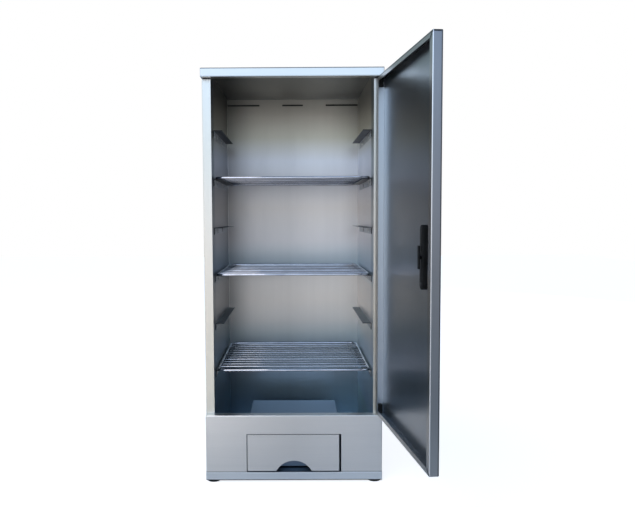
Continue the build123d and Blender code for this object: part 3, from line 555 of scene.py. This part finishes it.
def across(node, left, middle, right, at_top=1.0, at_bottom=1.0):
    """Painted light and shade: a sheet's tone changes along its width, and lines along its front face's top
    and bottom edges are painted lighter as highlights or darker as shade.
    """
    low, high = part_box(node)
    by_width = [(low.x, left), ((low.x + high.x) / 2, middle), (high.x, right)]

    def shade(tree):
        colour = stops_on(tree, tree.axis("X"), low.x, high.x, by_width)
        in_front = tree.below(tree.axis("Y"), low.y + FRONT_FACE)
        height = tree.axis("Z")
        top = tree.times(in_front, tree.above(height, high.z - EDGE_LINE))
        colour = multiply_colour(tree, colour, mix_colour(tree, top, grey(1.0), grey(at_top)))
        bottom = tree.times(in_front, tree.below(height, low.z + EDGE_LINE))
        return multiply_colour(tree, colour, mix_colour(tree, bottom, grey(1.0), grey(at_bottom)))
    return shade


def painted_reflection_by_height(tree):
    """Painted reflection on the bare outer sheet: warmer and lighter towards the ground, greyer and darker
    higher up.
    """
    return stops_on(tree, tree.axis("Z"), floor_z, cad_box[1].z, [
        (0.20, (1.0, 0.945, 0.83)),
        (0.35, (1.0, 0.935, 0.82)),
        (0.55, (0.95, 0.91, 0.84)),
        (0.75, (0.86, 0.867, 0.825)),
        (0.90, (0.885, 0.90, 0.89)),
    ])


LEDGE_OFF_WALL = 1.6 * MM  # where a rail's ledge starts, past its flange
# painted shade on the rails' ledges, by height
LEDGE_SHADE_BY_HEIGHT = [(0.35, (0.36, 0.41, 0.44)), (0.60, (0.26, 0.27, 0.28)), (0.80, even(0.19))]
RAIL_END_DEEP = 3.0 * MM
RAIL_END_SHADE = grey(0.05)


def rail_tone(tree):
    """Painted shade: ledges are darker than the flanges on the wall, most of all at the top, and the front
    ends are painted dark.
    """
    ledge = tree.below(tree.unsigned(tree.axis("X")), wall_x - LEDGE_OFF_WALL)
    smoke_and_shade = stops_on(tree, tree.axis("Z"), floor_z, cad_box[1].z, LEDGE_SHADE_BY_HEIGHT)
    colour = mix_colour(tree, ledge, grey(1.0), smoke_and_shade)
    front_end = tree.below(tree.axis("Y"), rail_y + RAIL_END_DEEP)
    return mix_colour(tree, front_end, colour, RAIL_END_SHADE)


def unlit_hollow(tree):
    """Painted shade: the inside of the back panel is darkened."""
    inside = tree.below(tree.axis("Y"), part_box("back_panel")[1].y - SKIN)
    return mix_colour(tree, inside, grey(1.0), grey(0.08))


BODY_BRIGHT, BODY_ROUGH = 0.60, 0.30
LINER_BRIGHT, LINER_ROUGH = 0.80, 0.34
door_sheet = sheet_steel("door_sheet", BODY_BRIGHT, BODY_ROUGH, "z", shade=inside_door)
# painted light and shade: lighter to the right, a painted highlight along the top, a painted shadow along
# the bottom
plinth_sheet = sheet_steel(
    "plinth_sheet", 0.82, BODY_ROUGH, "x", tint=PLINTH_TINT,
    shade=across("plinth_strip", even(0.84), (0.82, 0.83, 0.85), even(1.0), 1.2, 0.10),
)
# painted light and shade: darker in the middle, a painted highlight along the top, painted shade along the
# bottom
base_sheet = sheet_steel(
    "base_sheet", 0.80, BODY_ROUGH, "x", tint=WARM,
    shade=across("base_front_panel", (0.92, 0.91, 0.90), even(0.80), even(1.0), 1.15, 0.7),
)
back_sheet = sheet_steel("back_sheet", 0.90, BODY_ROUGH, "z", shade=unlit_hollow)
body_up = sheet_steel("satin_sheet_upright", 0.72, BODY_ROUGH, "z", tint=NEUTRAL, shade=painted_reflection_by_height)
body_flat = sheet_steel("satin_sheet_level", BODY_BRIGHT, BODY_ROUGH, "x", tint=LESS_WARM)
# painted light and shade: lighter to the right, darker painted shade lines along the top and the bottom
cap_sheet = sheet_steel(
    "cap_sheet", 0.78, BODY_ROUGH, "x",
    shade=across("roof_cap", (0.80, 0.81, 0.82), (0.86, 0.87, 0.86), (1.0, 1.0, 0.98), 0.30, 0.8),
)
liner_up = sheet_steel("liner_sheet", LINER_BRIGHT, LINER_ROUGH, "z", shade=painted_wall_shade(1.0))
# painted light: a lighter copy of the liner for the right wall
liner_right = sheet_steel("liner_sheet_right_lit", 0.98, 0.38, "z", shade=painted_wall_shade(1.38))
# painted shade: a dark blue sheet for the lower chamber's floor and the drawer's tunnel
liner_deep = sheet_steel("liner_sheet_deep", 0.31, LINER_ROUGH, "y", tint=SHADE_BLUE)
rail_sheet = sheet_steel("rail_sheet", 0.66, 0.40, "y", waviness=0.1 * MM, soot=0.2, shade=rail_tone)
tray_sheet = sheet_steel("tray_sheet", 0.30, 0.42, "x", soot=0.8)
# painted shade: a dark blue sheet for the drawer's box
drawer_sheet = sheet_steel("drawer_sheet", 0.20, 0.40, "x", tint=SHADE_BLUE)
# painted shade and reflection: a dark sheet for the ceiling, lighter to the right
ceiling_sheet = sheet_steel(
    "ceiling_sheet", 0.11, 0.30, "x",
    shade=across("ceiling_liner", (0.80, 0.84, 0.92), (0.76, 0.80, 0.82), (1.5, 1.65, 1.85)),
)
bright_wire = chrome("bright_wire")
moulded = black_plastic("moulded_black")
foot_pad = rubber("rubber_black")
zinc_plate = zinc("zinc_plate")
sintered = magnet("sintered_black")

FINISH = {
    "roof_cap": cap_sheet, "ceiling_liner": ceiling_sheet, "front_header": body_flat,
    "base_front_panel": base_sheet, "drawer_front": base_sheet, "plinth_strip": plinth_sheet,
    "side_panel_left": body_up, "side_panel_right": body_up,
    "back_panel": back_sheet, "door_panel": door_sheet,
    "back_liner": liner_up, "side_liner_left": liner_up, "side_liner_right": liner_right,
    "base_front_liner": liner_up, "floor_pan": liner_deep, "drawer_tunnel": liner_deep,
    "drawer_runner_left": rail_sheet, "drawer_runner_right": rail_sheet,
    "drawer_box": drawer_sheet, "pellet_tray": tray_sheet,
    "rail_rivets": zinc_plate, "foot_screws": zinc_plate, "cap_screws": zinc_plate,
    "back_screws": zinc_plate, "base_screws": zinc_plate, "drawer_rivets": zinc_plate,
    "hinge_pin_top": zinc_plate, "hinge_pin_bottom": zinc_plate,
    "hinge_plate_top": rail_sheet, "hinge_plate_bottom": rail_sheet,
    "catch_magnet_upper": sintered, "catch_magnet_lower": sintered,
    "door_bush_top": moulded, "door_bush_bottom": moulded, "door_pull": moulded,
    "door_pull_bar": moulded, "door_pull_screws": sintered,
}


def finish_for(name):
    if name in FINISH:
        return FINISH[name]
    if name.startswith("rail_"):
        return rail_sheet
    if name.startswith("foot_"):
        return foot_pad
    return bright_wire


def paint(piece, material):
    piece.data.materials.clear()
    piece.data.materials.append(material)


# ---- mesh helpers ----
CREASE = math.radians(35.0)  # edges that fold by more are shaded sharp
WELD_NEAR = 0.001 * MM  # points this close are joined
FLAT = math.radians(1.0)
SHARP = math.radians(30.0)
BEVEL_STEPS = 3


def loft(rings, looped=False):
    """A bmesh through rings of points, closed by end faces unless its last ring joins the first."""
    mesh = bmesh.new()
    rows = [[mesh.verts.new(point) for point in ring] for ring in rings]
    count = len(rows[0])
    following = rows[1:] + rows[:1] if looped else rows[1:]
    for first, second in zip(rows, following):
        for k in range(count):
            after = (k + 1) % count
            mesh.faces.new((first[k], first[after], second[after], second[k]))
    if not looped:
        mesh.faces.new(list(reversed(rows[0])))
        mesh.faces.new(rows[-1])
    bmesh.ops.recalc_face_normals(mesh, faces=mesh.faces)
    return mesh


def turns(sides):
    """Equal turns of a full circle, in radians."""
    return [2 * math.pi * side / sides for side in range(sides)]


def tube(path, radius, looped=False, sides=20):
    """A round wire along a level path of points."""
    rings = []
    for k, point in enumerate(path):
        before = path[k - 1] if looped or k else point
        after = path[(k + 1) % len(path)] if looped or k < len(path) - 1 else point
        aside = (after - before).normalized().cross(UP)
        around = [math.cos(turn) * aside + math.sin(turn) * UP for turn in turns(sides)]
        rings.append([point + radius * outwards for outwards in around])
    return loft(rings, looped=looped)


def lathe(profile, centre, sides=48):
    """A closed outline of (radius, height) points turned about an upright axis."""
    rings = []
    for turn in turns(sides):
        outwards = Vector((math.cos(turn), math.sin(turn), 0.0))
        rings.append([centre + radius * outwards + height * UP for radius, height in profile])
    return loft(rings, looped=True)


def round_cornered(half_wide, half_tall, corner, steps):
    """Points (across, up) of a rectangle with round corners, about its middle."""
    points = []
    for x, y, start in ((1, 1, 0.0), (-1, 1, 90.0), (-1, -1, 180.0), (1, -1, 270.0)):
        for step in range(steps + 1):
            turn = math.radians(start + 90.0 * step / steps)
            points.append((
                x * (half_wide - corner) + corner * math.cos(turn),
                y * (half_tall - corner) + corner * math.sin(turn),
            ))
    return points


def add_to(mesh, other):
    """Moves one bmesh's geometry into another."""
    spare = bpy.data.meshes.new("spare")
    other.to_mesh(spare)
    other.free()
    mesh.from_mesh(spare)
    bpy.data.meshes.remove(spare)


def piece_from(name, mesh, body, slot, material, *replaced):
    """Makes an object from a bmesh, which rides on a body and stands for CAD nodes."""
    data = bpy.data.meshes.new(name)
    mesh.to_mesh(data)
    mesh.free()
    data.shade_smooth()
    data.set_sharp_from_angle(angle=CREASE)
    piece = bpy.data.objects.new(name, data)
    bpy.context.scene.collection.objects.link(piece)
    paint(piece, material)
    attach(piece, body)
    if replaced:
        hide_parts(*replaced)
    return piece


def cad_mesh(node):
    """A bmesh of a CAD node, with its triangles' corners joined."""
    mesh = bmesh.new()
    mesh.from_mesh(nodes[node].data)
    bmesh.ops.remove_doubles(mesh, verts=mesh.verts, dist=WELD_NEAR)
    return mesh


def islands(node):
    """(low, high) corners of each separate solid in a CAD node, from left to right.

    A set has no order of its own, so the sort is what gives each screw the same draw in every run."""
    mesh = cad_mesh(node)
    unseen = set(mesh.verts)
    boxes = []
    while unseen:
        reached = [unseen.pop()]
        for vert in reached:
            for edge in vert.link_edges:
                other = edge.other_vert(vert)
                if other in unseen:
                    unseen.remove(other)
                    reached.append(other)
        spans = [[vert.co[axis] for vert in reached] for axis in range(3)]
        boxes.append((Vector([min(span) for span in spans]), Vector([max(span) for span in spans])))
    mesh.free()
    return sorted(boxes, key=lambda box: [round(value, 5) for value in box[0]])


def softened(node, body, slot, material, width):
    """A copy of a plain CAD piece with its edges rounded, which stands for it."""
    mesh = cad_mesh(node)
    bmesh.ops.dissolve_limit(mesh, angle_limit=FLAT, verts=mesh.verts, edges=mesh.edges)
    sharp = [edge for edge in mesh.edges if edge.is_manifold and edge.calc_face_angle() > SHARP]
    bmesh.ops.bevel(
        mesh, geom=sharp, offset=width, offset_type="OFFSET", segments=BEVEL_STEPS,
        profile=0.5, affect="EDGES", clamp_overlap=True,
    )
    return piece_from(node + "_moulded", mesh, body, slot, material, node)


# ---- grates ----
GRATE_CORNER = 18.0 * MM
GRATE_CORNER_STEPS = 9
GRATE_WIRES = 11
WIRE_SIDES = 16
WELD_BEAD = (1.9 * MM, 2.3 * MM, 1.9 * MM)
WELD_LUMPS = 0.07
WELD_AT = 2.1  # rod radii from the grate's outer edge


def weld_bead(centre, dice):
    """A small lumpy drop of weld metal."""
    bead = bmesh.new()
    bmesh.ops.create_icosphere(bead, subdivisions=2, radius=1.0)
    for vert in bead.verts:
        lump = 1.0 + dice.uniform(-WELD_LUMPS, WELD_LUMPS)
        vert.co = centre + Vector([vert.co[axis] * WELD_BEAD[axis] * lump for axis in range(3)])
    return bead


def make_grate(name, dice):
    """A round-rod loop with cross wires, each welded to the loop at both ends."""
    frame_node, wires_node = f"grate_{name}_frame", f"grate_{name}_wires"
    low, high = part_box(frame_node)
    middle = (low + high) / 2
    rod = (high.z - low.z) / 2
    half = (high - low) / 2 - Vector((rod, rod, 0.0))
    outline = round_cornered(half.x, half.y, GRATE_CORNER, GRATE_CORNER_STEPS)
    loop = tube([middle + Vector((x, y, 0.0)) for x, y in outline], rod, looped=True)
    piece_from(f"grate_{name}_loop", loop, f"grate_{name}", "wire_chrome", bright_wire, frame_node)

    wire_low, wire_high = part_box(wires_node)
    wire = (wire_high.z - wire_low.z) / 2
    first, last = wire_low.y + wire, wire_high.y - wire
    wires = bmesh.new()
    for step in range(GRATE_WIRES):
        y = first + (last - first) * step / (GRATE_WIRES - 1)
        ends = [Vector((x, y, middle.z)) for x in (wire_low.x, wire_high.x)]
        add_to(wires, tube(ends, wire, sides=WIRE_SIDES))
        for x in (low.x + WELD_AT * rod, high.x - WELD_AT * rod):
            add_to(wires, weld_bead(Vector((x, y, middle.z)), dice))
    piece_from(f"grate_{name}_cross_wires", wires, f"grate_{name}", "wire_chrome", bright_wire, wires_node)


# ---- feet ----
FOOT_BORE_R = 1.6 * MM  # hole for the screw
FOOT_RECESS_R = 4.0 * MM  # recess for the screw's head, from below
FOOT_RECESS_H = 2.6 * MM
FOOT_WAIST = 0.7 * MM  # depth of the groove round the foot


def make_foot(node):
    """Moulded pad with a rolled lower edge, a waist and a recess for its screw."""
    low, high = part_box(node)
    centre = Vector(((low.x + high.x) / 2, (low.y + high.y) / 2, low.z))
    radius = (high.x - low.x) / 2
    tall = high.z - low.z
    waist = radius - FOOT_WAIST
    profile = [
        (FOOT_BORE_R, tall),
        (radius - 0.4 * MM, tall), (radius, tall - 0.4 * MM),  # chamfered upper edge
        (radius, tall - 1.4 * MM), (waist, tall - 1.8 * MM),
        (waist, tall - 2.2 * MM), (radius, tall - 2.6 * MM),
        (radius, 1.4 * MM), (radius - 0.3 * MM, 0.6 * MM),  # rolled lower edge
        (radius - 0.9 * MM, 0.15 * MM), (radius - 1.8 * MM, 0.0),
        (FOOT_RECESS_R + 1.4 * MM, 0.0), (FOOT_RECESS_R + 0.2 * MM, 0.35 * MM),
        (FOOT_RECESS_R, FOOT_RECESS_H), (FOOT_BORE_R, FOOT_RECESS_H),
    ]
    piece_from(node + "_pad", lathe(profile, centre), "cabinet", "foot_rubber", foot_pad, node)


# ---- screws ----
SCREW_HEAD_R = 3.6 * MM
SCREW_HEAD_H = 2.0 * MM
SCREW_EDGE_R = 1.2 * MM  # roundness of the head's edge
SCREW_EDGE_Z = 0.7 * MM  # height of that rounding's centre
SCREW_EDGE_STEPS = 7
SCREW_SHANK_R = 1.45 * MM
SCREW_STUB = 3.0 * MM  # length of the shank's stub
SCREW_SIDES = 40
NEAR_AXIS = 0.02 * MM  # a turned outline stops just short of its axis
CROSS_ARM, CROSS_HALF_W, CROSS_DEEP = 1.9 * MM, 0.35 * MM, 1.1 * MM  # the driver's recess
CROSS_TAPER = 0.55  # the recess's size at its bottom, as a share of its size at the top
CROSS_PAST = 0.2 * MM  # how far the tool that cuts it stands out of the head


def carved(body, tool):
    """The mesh of one bmesh with another cut out of it."""
    things = []
    for name, mesh in (("screw_blank", body), ("screw_recess", tool)):
        thing = bpy.data.objects.new(name, bpy.data.meshes.new(name))
        mesh.to_mesh(thing.data)
        mesh.free()
        bpy.context.scene.collection.objects.link(thing)
        things.append(thing)
    carve = things[0].modifiers.new("recess", "BOOLEAN")
    carve.operation = "DIFFERENCE"
    carve.object = things[1]
    carve.solver = "EXACT"
    shown = bpy.context.evaluated_depsgraph_get()
    result = bpy.data.meshes.new_from_object(things[0].evaluated_get(shown))
    for thing in things:
        bpy.data.objects.remove(thing)
    return result


def screw_mesh():
    """A pan-head screw that points along +Z, with a cross recess and a stub of its shank."""
    outline = [
        (NEAR_AXIS, -SCREW_STUB), (SCREW_SHANK_R, -SCREW_STUB), (SCREW_SHANK_R, 0.0), (SCREW_HEAD_R, 0.0),
    ]
    for step in range(SCREW_EDGE_STEPS + 1):
        turn = math.radians(90.0 * step / SCREW_EDGE_STEPS)
        outline.append((
            SCREW_HEAD_R - SCREW_EDGE_R + SCREW_EDGE_R * math.cos(turn),
            SCREW_EDGE_Z + SCREW_EDGE_R * math.sin(turn),
        ))
    outline.append((NEAR_AXIS, SCREW_HEAD_H))
    body = lathe(outline, Vector(), sides=SCREW_SIDES)
    arm, half = CROSS_ARM, CROSS_HALF_W
    cross = []  # each arm's two corners, and the inner corner after them
    for x, y in ((1, 0), (0, 1), (-1, 0), (0, -1)):
        for far, aside in ((arm, -half), (arm, half), (half, half)):
            cross.append((x * far - y * aside, y * far + x * aside))
    bottom, top = SCREW_HEAD_H - CROSS_DEEP, SCREW_HEAD_H + CROSS_PAST
    rings = [
        [Vector((x * share, y * share, height)) for x, y in cross]
        for share, height in ((CROSS_TAPER, bottom), (1.0, top))
    ]
    return carved(body, loft(rings))


def make_screws(node, direction_of, screw, dice):
    """Puts a screw at each of a node's places, each turned a little differently."""
    mesh = bmesh.new()
    for low, high in islands(node):
        centre = (low + high) / 2
        direction = direction_of(centre)
        tip = centre + direction * abs((high - low).dot(direction)) / 2
        turn = direction.to_track_quat("Z", "Y").to_matrix().to_4x4()
        spin = Matrix.Rotation(dice.uniform(0.0, math.pi / 2), 4, "Z")
        place = Matrix.Translation(tip - direction * SCREW_HEAD_H) @ turn @ spin
        one = bmesh.new()
        one.from_mesh(screw)
        one.transform(place)
        add_to(mesh, one)
    piece_from(node + "_cross_head", mesh, "cabinet", "fastener_steel", zinc_plate, node)


# ---- finger pull ----
PULL_RIM = 4.0 * MM  # width of the rim round the cup
PULL_WALL = 1.5 * MM
PULL_HALF_W = 10.0 * MM  # of the cup's outside
PULL_REACH = 315.0 * MM  # from the hinge's axis
PULL_PROUD = 1.6 * MM  # how far the rim stands off the door's face
PULL_DEEP = 10.7 * MM
PULL_SOFT = 1.0 * MM  # roundness of the cup's inner edges
PULL_SEAT = 0.02 * MM  # gap between the rim and the door's face
PULL_CORNER = 0.9  # share of the half width
PULL_CORNER_STEPS = 7


def pull_ring(centre, half_h, grow, y):
    """One upright round-ended outline of the finger pull, in the closed door's pose."""
    wide = PULL_HALF_W + grow
    outline = round_cornered(wide, half_h + grow, wide * PULL_CORNER, PULL_CORNER_STEPS)
    return [Vector((centre.x + x, y, centre.z + z)) for x, z in outline]


def swung(point):
    """A point of the closed door, in the stored pose."""
    turn = Matrix.Rotation(door_angle, 3, "Z")
    return turn @ (point - hinge_level) + hinge_level


def make_pull():
    """Moulded finger pull: a rolled rim on the door's face and a cup with rounded edges."""
    low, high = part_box("door_pull")
    rim, wall, soft = PULL_RIM, PULL_WALL, PULL_SOFT
    half_h = (high.z - low.z) / 2 - rim
    centre = Vector((hinge.x - PULL_REACH, 0.0, (low.z + high.z) / 2))
    face = hinge.y - DOOR_IN_FRONT
    seat = face - PULL_SEAT
    front, back = face - PULL_PROUD, face + PULL_DEEP
    bottom = back - wall
    inside = [  # (growth of the outline, depth), from the rim's outer edge over it and into the cup
        (rim, seat), (rim, front + 0.6 * MM), (rim - 0.3 * MM, front + 0.15 * MM), (rim - 0.9 * MM, front),
        (-wall + 0.9 * MM, front), (-wall + 0.3 * MM, front + 0.2 * MM), (-wall, front + 0.8 * MM),
        (-wall, bottom - soft), (-wall - 0.3 * soft, bottom - 0.3 * soft), (-wall - soft, bottom),
    ]
    outside = [  # from behind the rim to the cup's back
        (0.0, seat), (0.0, back - soft), (-0.3 * soft, back - 0.3 * soft), (-soft, back),
    ]
    order = list(reversed(inside)) + outside
    rings = [[swung(point) for point in pull_ring(centre, half_h, grow, y)] for grow, y in order]
    piece_from("door_pull_cup", loft(rings), "door", "black_plastic", moulded, "door_pull")


MOULDED_EDGE = 0.5 * MM


def add_details():
    """The finer meshes. The order of the calls fixes what each one draws from the dice."""
    dice = random.Random(11)
    for name in ("upper", "middle", "lower"):
        make_grate(name, dice)
    for node in sorted(nodes):
        if node.startswith("foot_") and node != "foot_screws":
            make_foot(node)
    screw = screw_mesh()
    make_screws("cap_screws", lambda centre: Vector((math.copysign(1.0, centre.x), 0.0, 0.0)), screw, dice)
    for node in ("back_screws", "base_screws"):
        make_screws(node, lambda centre: Vector((0.0, 1.0, 0.0)), screw, dice)
    make_pull()
    for node in ("door_bush_top", "door_bush_bottom", "door_pull_bar"):
        softened(node, "door", "black_plastic", moulded, MOULDED_EDGE)
    for node in ("catch_magnet_upper", "catch_magnet_lower"):
        softened(node, "cabinet", "magnet_iron", sintered, MOULDED_EDGE)


# ---- stage and light ----
FLOOR_SIDE, FLOOR_FRONT, FLOOR_REAR = 4.5, -3.4, 9.0
FLOOR_REFLECTED = 0.80
# painted shadow: the floor that the metal reflects is darker to the right
FLOOR_DIM_RIGHT = 0.34
FLOOR_DIM_FROM, FLOOR_DIM_TO = 0.20, 0.60
FLOOR_LIFT = 0.75  # strength of the glow that whitens the floor for the camera
SKY_STRENGTH = 1.75
SKY_BY_HEIGHT = [  # sine of the height above the horizon, and the colour there
    (-1.0, (0.45, 0.45, 0.46)),
    (-0.25, (0.54, 0.54, 0.56)),
    (-0.10, (0.76, 0.745, 0.74)),
    (0.0, (0.82, 0.81, 0.815)),
    (0.06, (0.74, 0.79, 0.86)),
    (0.19, (0.66, 0.82, 0.98)),
    (0.45, (0.46, 0.66, 0.94)),
    (1.0, (0.16, 0.20, 0.28)),
]
SKY_BY_SIDE = [  # what that is multiplied by, from left to right
    (-1.0, (1.0, 1.0, 1.0)),
    (-0.05, (1.0, 1.0, 1.0)),
    (0.15, (0.98, 0.98, 0.98)),
    (0.29, (0.30, 0.32, 0.37)),
    (0.60, (0.12, 0.13, 0.16)),
    (1.0, (0.10, 0.11, 0.14)),
]
SKY_BY_DEPTH = [  # and from in front of the cabinet to behind it
    (-1.0, (1.0, 1.0, 1.0)),
    (-0.2, (0.9, 0.9, 0.9)),
    (0.3, (0.34, 0.35, 0.32)),
    (1.0, (0.26, 0.27, 0.24)),
]
WHITE = (1.0, 1.0, 1.0, 1.0)
BODY_MIDDLE = (0.0, 0.0, 0.5)
LIGHTS = [  # name, place, what it points at, size, power, colour, spread in degrees
    ("key", (-1.6, -3.2, 2.6), BODY_MIDDLE, (2.4, 1.6), 10.0, (1.0, 1.0, 1.0), 180.0),
    ("floor_wash", (-0.9, -1.5, 1.6), (-0.9, -1.501, 0.0), (1.5, 2.0), 12.5, (1.0, 0.92, 0.84), 80.0),
    ("side_card", (2.8, 2.1, 1.1), BODY_MIDDLE, (3.2, 2.4), 24.0, (1.0, 1.0, 1.0), 180.0),
]


def add_floor():
    """Pale floor. It looks white to the camera, and the metal reflects a greyer one."""
    mesh = bpy.data.meshes.new("floor")
    corners = [
        (-FLOOR_SIDE, FLOOR_FRONT, floor_z), (FLOOR_SIDE, FLOOR_FRONT, floor_z),
        (FLOOR_SIDE, FLOOR_REAR, floor_z), (-FLOOR_SIDE, FLOOR_REAR, floor_z),
    ]
    mesh.from_pydata(corners, [], [(0, 1, 2, 3)])
    floor = bpy.data.objects.new("floor", mesh)
    bpy.context.scene.collection.objects.link(floor)
    tree = Material("pale_floor")
    cloud = tree.noise(1.5, detail=3.0)
    seen = tree.nodes.new("ShaderNodeLightPath").outputs["Is Camera Ray"]
    pale = mix_colour(tree, cloud, grey(0.88), grey(0.92))
    # painted shadow: darker to the right
    to_right = tree.span(tree.axis("X"), FLOOR_DIM_FROM, FLOOR_DIM_TO, 0.0, 1.0)
    reflected = mix_colour(tree, to_right, grey(FLOOR_REFLECTED), grey(FLOOR_DIM_RIGHT))
    tree.set(Base_Color=mix_colour(tree, seen, reflected, pale), Roughness=0.9)
    tree.set(Emission_Color=WHITE, Emission_Strength=tree.times(seen, FLOOR_LIFT))
    paint(floor, tree.material)


def add_area(name, place, target, size, power, colour, spread):
    data = bpy.data.lights.new(name, "AREA")
    data.spread = math.radians(spread)
    data.shape = "RECTANGLE"
    data.size, data.size_y = size
    data.energy = power
    data.color = colour
    light = bpy.data.objects.new(name, data)
    bpy.context.scene.collection.objects.link(light)
    light.location = place
    light.rotation_euler = (Vector(target) - Vector(place)).to_track_quat("-Z", "Y").to_euler()
    light.visible_camera = False


def add_world():
    """White surround to the camera; for all else, brightest in front and to the left, and cool above."""
    world = bpy.data.worlds.new("studio")
    bpy.context.scene.world = world
    tree = Tree(world, "Generated")
    out = tree.nodes.new("ShaderNodeOutputWorld")
    around = tree.nodes.new("ShaderNodeBackground")
    behind = tree.nodes.new("ShaderNodeBackground")
    chooser = tree.nodes.new("ShaderNodeMixShader")
    path = tree.nodes.new("ShaderNodeLightPath")
    by_height, by_side, by_depth = (
        stops_on(tree, tree.axis(axis), -1.0, 1.0, stops)
        for axis, stops in (("Z", SKY_BY_HEIGHT), ("X", SKY_BY_SIDE), ("Y", SKY_BY_DEPTH))
    )
    colour = multiply_colour(tree, multiply_colour(tree, by_height, by_side), by_depth)
    tree.put(around.inputs["Color"], colour)
    tree.put(around.inputs["Strength"], SKY_STRENGTH)
    tree.put(behind.inputs["Color"], WHITE)
    tree.put(behind.inputs["Strength"], 1.0)
    tree.put(chooser.inputs[0], path.outputs["Is Camera Ray"])
    tree.put(chooser.inputs[1], around.outputs[0])
    tree.put(chooser.inputs[2], behind.outputs[0])
    tree.put(out.inputs[0], chooser.outputs[0])


for name, piece in nodes.items():
    paint(piece, finish_for(name))
add_details()

add_camera()
add_floor()
add_world()
for light in LIGHTS:
    add_area(*light)
bpy.context.scene.view_settings.view_transform = "Standard"
